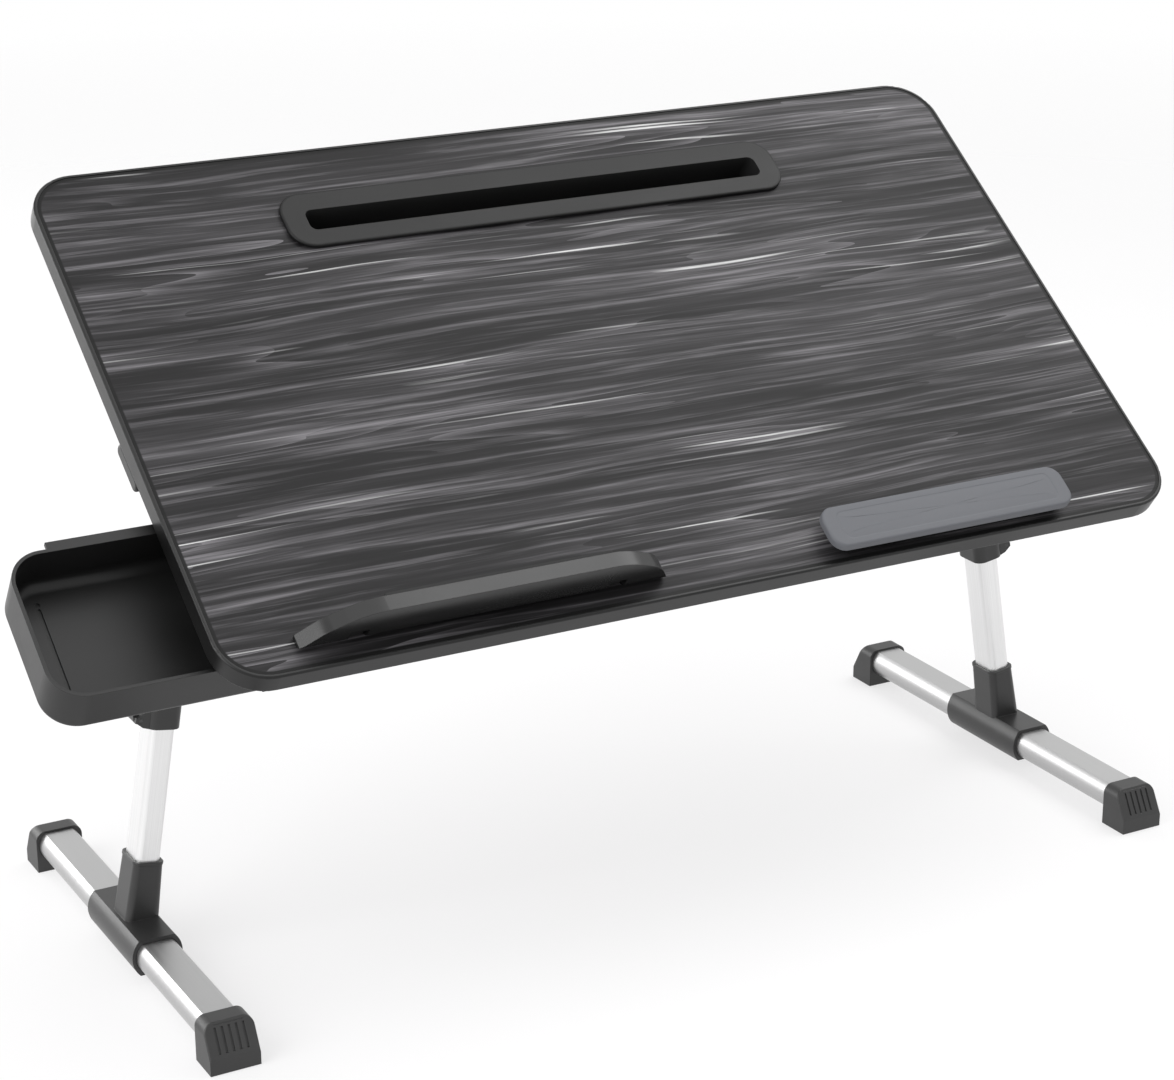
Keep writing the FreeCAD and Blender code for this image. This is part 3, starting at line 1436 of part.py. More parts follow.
def mirror_to_left():
    """Make the left leg and hinge as mirror images across the stand's middle."""
    for node in [name for name in NODES if name.endswith("_right") and not name.startswith("stop_")]:
        mirror = doc.addObject("Part::Mirroring", node.replace("_right", "_left") + "_mirror")
        mirror.Source = NODES[node]
        mirror.Normal = AXIS["x"]
        bind(mirror, "Base.x", MID_X)
        keep(node.replace("_right", "_left"), mirror)


def check_document():
    """Stop if an object failed, a sub-part is not sound or a cut took nothing away."""
    faults = []
    for thing in doc.Objects:
        if "Invalid" in thing.State or "Error" in thing.State:
            faults.append(f"{thing.Label}: {thing.State}")
    for feature in CUTS:
        if feature.Shape.Volume >= feature.BaseFeature.Shape.Volume:
            faults.append(f"{feature.Label} cuts nothing")
    for node, thing in NODES.items():
        if thing.Shape.isNull() or not thing.Shape.isValid():
            faults.append(f"{node} is not a valid shape")
    if faults:
        raise RuntimeError("\n".join(faults))


def main():
    make_board()
    make_edge_trim()
    make_slot_tray()
    make_drawer()
    make_rails()
    make_drawer_stop()
    make_left_stop()
    make_right_stop()
    make_stop_hinge("left", -S.left_end, S.left_long, left_axis(), S.stop_pin_end_inset)
    right_inset = S.carrier_inset_end + S.stop_pin_end_inset
    make_stop_hinge("right", S.right_start, S.right_long, right_axis(), right_inset)
    make_stop_screws()
    make_tilt_block()
    make_axle()
    make_fold_pin()
    make_bracket()
    make_clip()
    make_clip_spring()
    make_upper_leg()
    make_clamp_pad()
    make_latch()
    make_leg_tube()
    make_foot_tee()
    make_foot_bar()
    make_foot_cap("foot_cap_near_right", FAR_TURN)
    make_foot_cap("foot_cap_far_right", FOOT_PLACE)
    make_foot_pads()
    doc.recompute()
    mirror_to_left()
    doc.recompute()
    check_document()
    for node, thing in NODES.items():
        thing.Shape.exportStep(f"parts/{node}.step")
    print(len(NODES), "sub-parts")


main()
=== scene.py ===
"""Looks of a laptop stand: a tilting wood-grain top on folding legs, with a device slot, stops and a drawer.

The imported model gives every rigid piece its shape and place. This file dresses those pieces in their
finishes, models the soft pad of the flat stop, and sets up a pale floor, soft light and a camera.
"""

import logging
import math
from dataclasses import dataclass, field
from enum import Enum

import bmesh
import bpy
from mathutils import Euler, Matrix, Vector

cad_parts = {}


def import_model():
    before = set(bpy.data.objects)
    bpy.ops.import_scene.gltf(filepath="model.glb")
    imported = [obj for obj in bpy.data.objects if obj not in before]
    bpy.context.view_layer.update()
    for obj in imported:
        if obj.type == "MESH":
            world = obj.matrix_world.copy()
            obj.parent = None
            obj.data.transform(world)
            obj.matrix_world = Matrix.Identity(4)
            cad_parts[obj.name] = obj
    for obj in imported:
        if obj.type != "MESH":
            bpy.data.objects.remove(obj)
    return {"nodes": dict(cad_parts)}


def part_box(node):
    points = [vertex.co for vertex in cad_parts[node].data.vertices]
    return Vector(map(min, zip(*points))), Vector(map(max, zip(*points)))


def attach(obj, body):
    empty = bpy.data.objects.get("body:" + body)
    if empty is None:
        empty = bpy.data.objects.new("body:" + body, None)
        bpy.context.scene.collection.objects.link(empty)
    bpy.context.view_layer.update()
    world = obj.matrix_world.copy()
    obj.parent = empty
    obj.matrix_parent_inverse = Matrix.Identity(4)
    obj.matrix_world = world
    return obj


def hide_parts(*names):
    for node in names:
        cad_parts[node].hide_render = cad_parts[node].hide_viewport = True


LOG = logging.getLogger("laptop_stand")

TILT = math.radians(36.0)
LEAN = math.radians(9.6)

Triple = tuple[float, float, float]
Colour = Triple

VECTOR, NUMBER, COLOUR = "NodeSocketVector", "NodeSocketFloat", "NodeSocketColor"


class Lie(Enum):
    """How a piece lies in the stand, as the turn that squares its pattern up with its own sides."""

    LEVEL = (0.0, 0.0, 0.0)
    BOARD = (-TILT, 0.0, 0.0)
    LEG_LEFT = (0.0, -LEAN, 0.0)
    LEG_RIGHT = (0.0, LEAN, 0.0)


def grey(level: float, violet: float = 0.0) -> Colour:
    """Return a linear grey for a screen level from 0 to 255, by the screen's own curve.

    Args:
        level: The grey's level on screen.
        violet: How far green falls, as a share; blue rises by half of it.

    Returns:
        The linear red, green and blue.
    """
    share = level / 255.0
    linear = share / 12.92 if share <= 0.04045 else ((share + 0.055) / 1.055) ** 2.4
    return (linear, linear * (1.0 - violet), linear * (1.0 + violet / 2))


@dataclass(frozen=True)
class Layer:
    """One noise pattern: its cycles per metre along each axis, its detail and its roughness."""

    stretch: Triple
    detail: float
    rough: float = 0.5


class Pen:
    """Adds nodes to one node tree and joins them."""

    def __init__(self, tree: bpy.types.NodeTree) -> None:
        """Keep the tree that is drawn in."""
        self.tree = tree

    def node(self, kind: str, **settings: object) -> bpy.types.Node:
        """Add a node.

        Args:
            kind: The node's type name.
            settings: Properties set on it.

        Returns:
            The new node.
        """
        new = self.tree.nodes.new(kind)
        for key, value in settings.items():
            setattr(new, key, value)
        return new

    def feed(self, socket: bpy.types.NodeSocket, value: object) -> None:
        """Link a socket into an input, or set the input's value.

        Args:
            socket: The input.
            value: A socket to link, or a plain value.
        """
        if isinstance(value, bpy.types.NodeSocket):
            self.tree.links.new(value, socket)
        elif socket.type == "RGBA" and len(value) == 3:
            socket.default_value = (*value, 1.0)
        else:
            socket.default_value = value

    def calc(self, how: str, first: object, second: object = 0.0) -> bpy.types.NodeSocket:
        """Return the result of a Math node that works on up to two values."""
        new = self.node("ShaderNodeMath", operation=how)
        for socket, value in zip(new.inputs, (first, second)):
            self.feed(socket, value)
        return new.outputs[0]

    def vector(self, how: str, *values: object) -> bpy.types.Node:
        """Return a Vector Math node that works on the values."""
        new = self.node("ShaderNodeVectorMath", operation=how)
        for socket, value in zip(new.inputs, values):
            self.feed(socket, value)
        return new

    def noise(self, vector: object, scale: object, detail: float, rough: float = 0.5) -> bpy.types.NodeSocket:
        """Return a noise value over a vector."""
        new = self.node("ShaderNodeTexNoise")
        for key, value in zip(("Vector", "Scale", "Detail", "Roughness"), (vector, scale, detail, rough)):
            self.feed(new.inputs[key], value)
        return new.outputs[0]

    def layer(self, vector: object, plan: Layer) -> bpy.types.NodeSocket:
        """Return the noise value of a layer over a vector."""
        stretched = self.vector("MULTIPLY", vector, plan.stretch)
        return self.noise(stretched.outputs[0], 1.0, plan.detail, plan.rough)

    def between(
        self, value: object, low: float, high: float, to_low: float = 0.0, to_high: float = 1.0
    ) -> bpy.types.NodeSocket:
        """Return a value moved from one range to another and clamped there."""
        new = self.node("ShaderNodeMapRange", clamp=True)
        keys = ("Value", "From Min", "From Max", "To Min", "To Max")
        for key, one in zip(keys, (value, low, high, to_low, to_high)):
            self.feed(new.inputs[key], one)
        return new.outputs[0]

    def blend(self, share: object, first: object, second: object) -> bpy.types.NodeSocket:
        """Return a mix of two colours by a share."""
        new = self.node("ShaderNodeMix", data_type="RGBA")
        for index, value in ((0, share), (6, first), (7, second)):
            self.feed(new.inputs[index], value)
        return new.outputs[2]


def shared_group(
    name: str, inputs: dict[str, str], outputs: dict[str, str]
) -> tuple[bpy.types.NodeTree, Pen, object, object]:
    """Make an empty shader node group with named sockets.

    Args:
        name: The group's name.
        inputs: Socket type by input name.
        outputs: Socket type by output name.

    Returns:
        The group, a pen for it, the sockets that it is given and the sockets of its result.
    """
    group = bpy.data.node_groups.new(name, "ShaderNodeTree")
    for table, way in ((inputs, "INPUT"), (outputs, "OUTPUT")):
        for key, kind in table.items():
            group.interface.new_socket(key, in_out=way, socket_type=kind)
    pen = Pen(group)
    return group, pen, pen.node("NodeGroupInput").outputs, pen.node("NodeGroupOutput").inputs


class Grain:
    """Noise layers of the wood streaks, which run along x, and the strengths of their marks."""

    SWAY, SWAY_REACH = Layer((2.0, 6.0, 1.0), 2.0), 0.026
    RIPPLE, RIPPLE_REACH = Layer((9.0, 38.0, 1.0), 2.0), 0.003
    BANDS = Layer((1.7, 40.0, 1.0), 3.0, 0.55)
    STROKES = Layer((5.0, 190.0, 1.0), 5.0, 0.62)
    RINGS, RING_COUNT, RING_EDGE, RING_SHARE = Layer((2.4, 48.0, 1.0), 1.0, 0.4), 11.0, 4.0, 0.75
    FINE, FINE_RELIEF = Layer((11.0, 640.0, 1.0), 3.0, 0.6), 0.5
    PATCH = Layer((4.0, 24.0, 1.0), 2.0)
    HAIR = Layer((4.2, 400.0, 1.0), 0.0)
    DARK_SHARE = 0.7


class Effects:
    """The effects that several finishes share, each built once as a node group."""

    def __init__(self) -> None:
        """Build every group."""
        self.streaks = self.make_streaks()
        self.moulding = self.make_moulding()
        self.drawn_lines = self.make_drawn_lines()
        # painted shade lines along rims, shared by the wood film, the edge trim and the slot
        self.rim_shade = self.make_rim_shade()

    def make_streaks(self) -> bpy.types.NodeTree:
        """Return the group that draws long wavy wood streaks along x."""
        group, pen, given, result = shared_group(
            "WoodStreaks",
            {"Vector": VECTOR, "Dark": COLOUR, "Middle": COLOUR, "Light": COLOUR, "Glint": COLOUR},
            {"Colour": COLOUR, "Roughness": NUMBER, "Height": NUMBER},
        )
        flow = self.bend(pen, given["Vector"])
        bands, strokes, rings, fine, patch, hair = (
            pen.layer(flow, plan)
            for plan in (Grain.BANDS, Grain.STROKES, Grain.RINGS, Grain.FINE, Grain.PATCH, Grain.HAIR)
        )
        base = pen.blend(pen.between(bands, 0.42, 0.62), given["Dark"], given["Middle"])
        band_share = pen.between(bands, 0.32, 0.55, 0.35, 0.9)
        stroke = pen.calc("MULTIPLY", pen.between(strokes, 0.50, 0.70), band_share)
        base = pen.blend(stroke, base, given["Light"])
        ring = pen.calc("FRACT", pen.calc("MULTIPLY", rings, Grain.RING_COUNT))
        ring = pen.calc("MULTIPLY", pen.calc("POWER", ring, Grain.RING_EDGE), Grain.RING_SHARE)
        ring = pen.calc("MULTIPLY", ring, pen.between(patch, 0.46, 0.60))
        base = pen.blend(ring, base, given["Light"])
        glint = pen.calc("MULTIPLY", pen.between(hair, 0.68, 0.76), pen.between(patch, 0.50, 0.60))
        base = pen.blend(glint, base, given["Glint"])
        dark = pen.calc("MULTIPLY", pen.between(strokes, 0.46, 0.30), Grain.DARK_SHARE)
        base = pen.blend(dark, base, given["Dark"])
        base = pen.blend(pen.between(fine, 0.60, 0.36, 0.0, 0.6), base, given["Dark"])
        pen.feed(result["Colour"], base)
        pen.feed(result["Roughness"], pen.between(strokes, 0.3, 0.7, 0.52, 0.4))
        relief = pen.calc("ADD", strokes, pen.calc("MULTIPLY", fine, Grain.FINE_RELIEF))
        pen.feed(result["Height"], relief)
        return group

    def bend(self, pen: Pen, place: object) -> bpy.types.NodeSocket:
        """Return a place moved across the grain, so that streaks drawn over it are wavy.

        Args:
            pen: The pen of the group.
            place: The place in the board's own axes.
        """
        sway = pen.calc("MULTIPLY", pen.layer(place, Grain.SWAY), Grain.SWAY_REACH)
        ripple = pen.calc("MULTIPLY", pen.layer(place, Grain.RIPPLE), Grain.RIPPLE_REACH)
        parts = pen.node("ShaderNodeSeparateXYZ")
        pen.feed(parts.inputs[0], place)
        bent = pen.node("ShaderNodeCombineXYZ")
        pen.feed(bent.inputs[0], parts.outputs[0])
        pen.feed(bent.inputs[1], pen.calc("ADD", pen.calc("ADD", parts.outputs[1], sway), ripple))
        return bent.outputs[0]

    def make_moulding(self) -> bpy.types.NodeTree:
        """Return the group for spark-textured moulded plastic with faint flow marks and dust."""
        group, pen, given, result = shared_group(
            "MouldedSkin",
            {"Vector": VECTOR, "Base": COLOUR, "Worn": COLOUR, "Grain": NUMBER, "Roughness": NUMBER},
            {"Colour": COLOUR, "Roughness": NUMBER, "Height": NUMBER},
        )
        place = given["Vector"]
        grain = pen.noise(place, given["Grain"], detail=2.0, rough=0.6)
        flow = pen.layer(place, Layer((11.0, 26.0, 26.0), 3.0, 0.55))
        rub = pen.noise(place, scale=90.0, detail=4.0, rough=0.7)
        flow_share = pen.between(flow, 0.42, 0.72, to_high=0.45)
        rub_share = pen.between(rub, 0.6, 0.8, to_high=0.3)
        share = pen.calc("ADD", flow_share, rub_share)
        pen.feed(result["Colour"], pen.blend(share, given["Base"], given["Worn"]))
        flow_change = pen.between(flow, 0.3, 0.7, -0.03, 0.05)
        grain_change = pen.between(grain, 0.3, 0.7, -0.02, 0.02)
        change = pen.calc("ADD", flow_change, grain_change)
        pen.feed(result["Roughness"], pen.calc("ADD", given["Roughness"], change))
        pen.feed(result["Height"], grain)
        return group

    def make_rim_shade(self) -> bpy.types.NodeTree:
        """Return the group that paints shade: it darkens a colour just inside a rounded rectangle's outline,
        standing for the shadow of a groove or undercut.
        """
        group, pen, given, result = shared_group(
            "RimShadeLine",
            {
                "Vector": VECTOR, "Colour": COLOUR, "Line": COLOUR, "Middle": VECTOR, "Inner Half": VECTOR,
                "Corner": NUMBER, "Width": NUMBER, "Start": NUMBER,
            },
            {"Colour": COLOUR},
        )
        away = pen.vector("SUBTRACT", given["Vector"], given["Middle"])
        folded = pen.vector("ABSOLUTE", away.outputs[0])
        past = pen.vector("SUBTRACT", folded.outputs[0], given["Inner Half"])
        outside = pen.vector("MAXIMUM", past.outputs[0], (0.0, 0.0, 0.0))
        reach = pen.vector("LENGTH", outside.outputs[0])
        depth = pen.calc("SUBTRACT", given["Corner"], reach.outputs["Value"])
        share = pen.calc("DIVIDE", depth, given["Width"])
        begun = pen.between(pen.calc("SUBTRACT", share, given["Start"]), 0.0, 0.2)
        # where the painted shade line lies, just inside the outline
        shade_mask = pen.calc("MULTIPLY", begun, pen.between(share, 0.8, 1.1, 1.0, 0.0))
        pen.feed(result["Colour"], pen.blend(shade_mask, given["Colour"], given["Line"]))
        return group

    def make_drawn_lines(self) -> bpy.types.NodeTree:
        """Return the group for metal drawn or brushed in one direction."""
        group, pen, given, result = shared_group(
            "DrawnLines",
            {"Vector": VECTOR, "Base": COLOUR, "Line": COLOUR, "Stretch": VECTOR, "Roughness": NUMBER},
            {"Colour": COLOUR, "Roughness": NUMBER, "Height": NUMBER},
        )
        place = pen.vector("MULTIPLY", given["Vector"], given["Stretch"])
        lines = pen.noise(place.outputs[0], scale=1.0, detail=3.0, rough=0.65)
        cloud = pen.noise(given["Vector"], scale=14.0, detail=2.0)
        cloud_share = pen.between(cloud, 0.3, 0.7, 0.5, 1.0)
        share = pen.calc("MULTIPLY", pen.between(lines, 0.35, 0.7), cloud_share)
        pen.feed(result["Colour"], pen.blend(share, given["Base"], given["Line"]))
        change = pen.between(lines, 0.3, 0.7, -0.05, 0.07)
        pen.feed(result["Roughness"], pen.calc("ADD", given["Roughness"], change))
        pen.feed(result["Height"], lines)
        return group


@dataclass(frozen=True)
class RimShadeLine:
    """A painted shade line just inside a rounded rectangle's outline, in the board's own axes and metres:
    dark where a groove or undercut would cast shadow.

    The line starts at a share of its width inside the outline; well below 0 it covers the edge too.
    """

    middle: Triple
    half: Triple
    corner: float
    width: float
    start: float = -2.0
    # colour of the painted shade
    colour: Colour = (0.004, 0.004, 0.004)


BOARD_MIDDLE = (0.03276, 0.17737, 0.27297)
SLOT_MIDDLE = (0.03276, 0.29552, 0.2745)
# Painted shade lines. At the wood film's edge, a dark line stands for the shadow where the film meets the
# edge trim.
FILM_EDGE_SHADE = RimShadeLine(BOARD_MIDDLE, (0.3, 0.1712, 1.0), corner=0.026, width=0.0024)
# On the edge trim, the top lip is darkened as painted shade.
TRIM_LIP_SHADE = RimShadeLine(BOARD_MIDDLE, (0.302, 0.1732, 1.0), corner=0.028, width=0.0022, start=0.12)
# Around the slot's ring, a dark outline stands for the shadow of its undercut: painted shade.
SLOT_RIM_SHADE = RimShadeLine(SLOT_MIDDLE, (0.1645, 0.02015, 1.0), corner=0.015, width=0.0016)


class Dressed:
    """A new material whose Principled shader takes its inputs from one group."""

    BEVEL_SAMPLES = 4

    def __init__(self, name: str, lie: Lie, rounding: float = 0.0) -> None:
        """Make the material with object coordinates squared up by the lie.

        Args:
            name: The material's name.
            lie: How the piece lies.
            rounding: Radius in metres that sharp edges seem to have, or 0.
        """
        self.material = bpy.data.materials.new(name)
        self.material.use_nodes = True
        self.pen = Pen(self.material.node_tree)
        self.shader = self.material.node_tree.nodes["Principled BSDF"]
        place = self.pen.node("ShaderNodeTexCoord")
        turn = self.pen.node("ShaderNodeMapping", vector_type="POINT")
        turn.inputs["Rotation"].default_value = lie.value
        self.pen.feed(turn.inputs["Vector"], place.outputs["Object"])
        self.vector = turn.outputs["Vector"]
        self.rounding = rounding

    def line(self, group: bpy.types.NodeTree, rim: RimShadeLine) -> None:
        """Paint a shade line along a rim, darkening the colour there.

        Args:
            group: The shared painted rim shade.
            rim: Where the painted shade line runs.
        """
        socket = self.shader.inputs["Base Color"]
        before = socket.links[0].from_socket
        effect = self.pen.node("ShaderNodeGroup", node_tree=group)
        inner = (rim.half[0] - rim.corner, rim.half[1] - rim.corner, rim.half[2])
        for key, value in (
            ("Vector", self.vector), ("Colour", before), ("Line", rim.colour), ("Middle", rim.middle),
            ("Inner Half", inner), ("Corner", rim.corner), ("Width", rim.width), ("Start", rim.start),
        ):
            self.pen.feed(effect.inputs[key], value)
        self.pen.feed(socket, effect.outputs["Colour"])

    def apply(
        self, group: bpy.types.NodeTree, bump: float, depth: float, **values: object
    ) -> bpy.types.Material:
        """Place a group and join it to the shader.

        Args:
            group: The effect.
            bump: Strength of its relief.
            depth: Height of the relief in metres.
            values: The group's other inputs.

        Returns:
            The finished material.
        """
        effect = self.pen.node("ShaderNodeGroup", node_tree=group)
        for key, value in {"Vector": self.vector, **values}.items():
            self.pen.feed(effect.inputs[key], value)
        self.pen.feed(self.shader.inputs["Base Color"], effect.outputs["Colour"])
        self.pen.feed(self.shader.inputs["Roughness"], effect.outputs["Roughness"])
        relief = self.pen.node("ShaderNodeBump")
        self.pen.feed(relief.inputs["Strength"], bump)
        self.pen.feed(relief.inputs["Distance"], depth)
        self.pen.feed(relief.inputs["Height"], effect.outputs["Height"])
        if self.rounding > 0.0:
            edge = self.pen.node("ShaderNodeBevel", samples=self.BEVEL_SAMPLES)
            self.pen.feed(edge.inputs["Radius"], self.rounding)
            self.pen.feed(relief.inputs["Normal"], edge.outputs["Normal"])
        self.pen.feed(self.shader.inputs["Normal"], relief.outputs["Normal"])
        return self.material


@dataclass(frozen=True)
class WoodFilm:
    """Satin printed wood film."""

    name: str = "grey_wood_film"
    dark: Colour = grey(24, 0.04)
    middle: Colour = grey(64, 0.04)
    light: Colour = grey(130, 0.04)
    glint: Colour = grey(215)
    shine: float = 0.16
    relief: float = 0.25
    depth: float = 0.00015
    # painted shadow along the film's edge, where it meets the trim
    edge_shade: RimShadeLine = FILM_EDGE_SHADE

    def make(self, effects: Effects) -> bpy.types.Material:
        """Return the material."""
        dressed = Dressed(self.name, Lie.BOARD)
        dressed.shader.inputs["Specular IOR Level"].default_value = self.shine
        material = dressed.apply(
            effects.streaks, self.relief, self.depth,
            Dark=self.dark, Middle=self.middle, Light=self.light, Glint=self.glint,
        )
        dressed.line(effects.rim_shade, self.edge_shade)
        return material


@dataclass(frozen=True)
class Plastic:
    """Moulded plastic or rubber."""

    name: str
    base: Colour
    worn: Colour
    lie: Lie = Lie.LEVEL
    grain: float = 2600.0
    roughness: float = 0.45
    relief: float = 0.12
    rounding: float = 0.0004
    shine: float = 0.5
    depth: float = 0.0001
    # an optional painted shade line along the piece's rim
    rim: RimShadeLine | None = None

    def make(self, effects: Effects) -> bpy.types.Material:
        """Return the material."""
        dressed = Dressed(self.name, self.lie, self.rounding)
        dressed.shader.inputs["Specular IOR Level"].default_value = self.shine
        material = dressed.apply(
            effects.moulding, self.relief, self.depth,
            Base=self.base, Worn=self.worn, Grain=self.grain, Roughness=self.roughness,
        )
        # paint the shade line along the rim, if there is one
        if self.rim is not None:
            dressed.line(effects.rim_shade, self.rim)
        return material


@dataclass(frozen=True)
class Metal:
    """Metal with lines drawn along one direction, or with an even grain."""

    name: str
    base: Colour
    line: Colour
    stretch: Triple = (900.0, 900.0, 900.0)
    lie: Lie = Lie.LEVEL
    roughness: float = 0.3
    relief: float = 0.08
    rounding: float = 0.0003
    depth: float = 0.00005

    def make(self, effects: Effects) -> bpy.types.Material:
        """Return the material."""
        dressed = Dressed(self.name, self.lie, self.rounding)
        dressed.shader.inputs["Metallic"].default_value = 1.0
        return dressed.apply(
            effects.drawn_lines, self.relief, self.depth,
            Base=self.base, Line=self.line, Stretch=self.stretch, Roughness=self.roughness,
        )


@dataclass
class Wardrobe:
    """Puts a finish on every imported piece."""

    effects: Effects
    plans: dict[str, object] = field(default_factory=dict)
    charcoal: Colour = grey(38)
    rubbed: Colour = grey(56)

    def __post_init__(self) -> None:
        """List the finish of each kind of piece, by the start of its name."""
        self.plan_board()
        self.plan_stops_and_hinges()
        self.plan_legs()
        self.plan_fasteners()

    def plan_board(self) -> None:
        """List the finishes of the top, its slot and its drawer."""
        board = Lie.BOARD
        self.plans |= {
            "laminate_top": WoodFilm(),
            "board_core": Plastic(
                "fibreboard", (0.30, 0.22, 0.14), (0.42, 0.33, 0.22), board,
                grain=900.0, roughness=0.85, relief=0.5,
            ),
            "backing_sheet": Plastic(
                "backing_film", grey(30), grey(42), board, grain=700.0, roughness=0.55, relief=0.2
            ),
            # the trim's top lip carries a painted shade line
            "edge_trim": Plastic(
                "edge_band", grey(15), grey(22), board,
                grain=1800.0, roughness=0.34, relief=0.06, shine=0.34, rim=TRIM_LIP_SHADE,
            ),
            # the ring's outer edge carries a painted shade line
            "slot_tray": Plastic(
                "slot_plastic", grey(30), grey(38), board, roughness=0.5, relief=0.1, shine=0.25, rim=SLOT_RIM_SHADE
            ),
            "drawer_tray": Plastic(
                "drawer_plastic", grey(24), grey(32), board,
                grain=2200.0, roughness=0.4, relief=0.1, shine=0.36,
            ),
            "drawer_rail": Plastic("rail_plastic", grey(26), grey(40), board),
            "drawer_stop": Plastic("rail_plastic_end", grey(26), grey(40), board),
        }

    def plan_stops_and_hinges(self) -> None:
        """List the finishes of the stops and of the tilt hinges."""
        board = Lie.BOARD
        self.plans |= {
            "stop_bar": Plastic(
                "stop_plastic", grey(24), grey(32), board,
                roughness=0.24, relief=0.05, rounding=0.0006, shine=0.4,
            ),
            "stop_base": Plastic("stop_lug_plastic", grey(26), grey(38), board),
            "stop_pad_left": Plastic(
                "stop_rubber", grey(24), grey(34), board, grain=1500.0, roughness=0.8, relief=0.3
            ),
            "tilt_block": Plastic("joint_plastic", self.charcoal, self.rubbed),
            "tilt_bracket": Plastic("bracket_plastic", grey(32), grey(46), board),
            "tilt_clip": Plastic("clip_plastic", self.charcoal, self.rubbed, board),
        }

    def plan_legs(self) -> None:
        """List the finishes of the legs and the feet."""
        moulded = {"grain": 2400.0, "rounding": 0.0006}
        rubber = {"grain": 1300.0, "roughness": 0.85, "relief": 0.4}
        self.plans |= {
            "foot_cap": Plastic("cap_plastic", self.charcoal, self.rubbed, roughness=0.42, **moulded),
            "foot_tee": Plastic(
                "tee_plastic", self.charcoal, self.rubbed, roughness=0.36, relief=0.1, **moulded
            ),
            "foot_pads": Plastic("foot_rubber", grey(24), grey(36), **rubber),
            "clamp_pad": Plastic("shoe_rubber", grey(24), grey(36), **rubber),
            "foot_bar": Metal(
                "bar_aluminium", grey(180), grey(187), (2200.0, 9.0, 2200.0), roughness=0.38, relief=0.02
            ),
        }
        along_leg = (2000.0, 2000.0, 8.0)
        for side, lie in (("left", Lie.LEG_LEFT), ("right", Lie.LEG_RIGHT)):
            self.plans |= {
                f"upper_leg_{side}": Plastic(
                    f"sleeve_plastic_{side}", grey(32), self.rubbed, lie,
                    roughness=0.36, relief=0.1, **moulded,
                ),
                f"height_latch_{side}": Plastic(
                    f"lever_plastic_{side}", self.charcoal, self.rubbed, lie,
                    roughness=0.4, relief=0.1, **moulded,
                ),
                f"leg_tube_{side}": Metal(
                    f"tube_aluminium_{side}", grey(222), grey(236), along_leg, lie, roughness=0.36
                ),
            }

    def plan_fasteners(self) -> None:
        """List the finishes of the pins, axles, springs and screws."""
        self.plans |= {
            "stop_pin": Metal("pin_steel", grey(170), grey(200)),
            "latch_pin": Metal("latch_pin_steel", grey(70), grey(84)),
            "fold_pin": Metal("fold_pin_steel", grey(150), grey(180)),
            "tilt_axle": Metal("axle_steel", grey(150), grey(180)),
            "clip_spring": Metal(
                "spring_wire", grey(190), grey(215), (1500.0, 1500.0, 1500.0), roughness=0.22
            ),
        }
        for start, name in (
            ("slot_tray_screws", "zinc_screw"), ("bracket_screws", "bracket_screw_zinc"),
            ("rail_screws", "rail_screw_zinc"), ("stop_screws", "stop_screw_zinc"),
            ("tee_screws", "tee_screw_zinc"),
        ):
            self.plans[start] = Metal(name, grey(150), grey(190), roughness=0.35)

    def dress(self, nodes: dict[str, bpy.types.Object]) -> None:
        """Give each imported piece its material.

        Args:
            nodes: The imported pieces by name.
        """
        made: dict[str, bpy.types.Material] = {}
        for name, piece in sorted(nodes.items()):
            start = max((key for key in self.plans if name.startswith(key)), key=len, default=None)
            if start is None:
                LOG.warning("no finish for %s", name)
                continue
            if start not in made:
                made[start] = self.plans[start].make(self.effects)
            for slot in piece.material_slots:
                slot.material = made[start]
            if not piece.material_slots:
                piece.data.materials.append(made[start])
        LOG.info("dressed %d packed pieces in %d finishes", len(nodes), len(made))


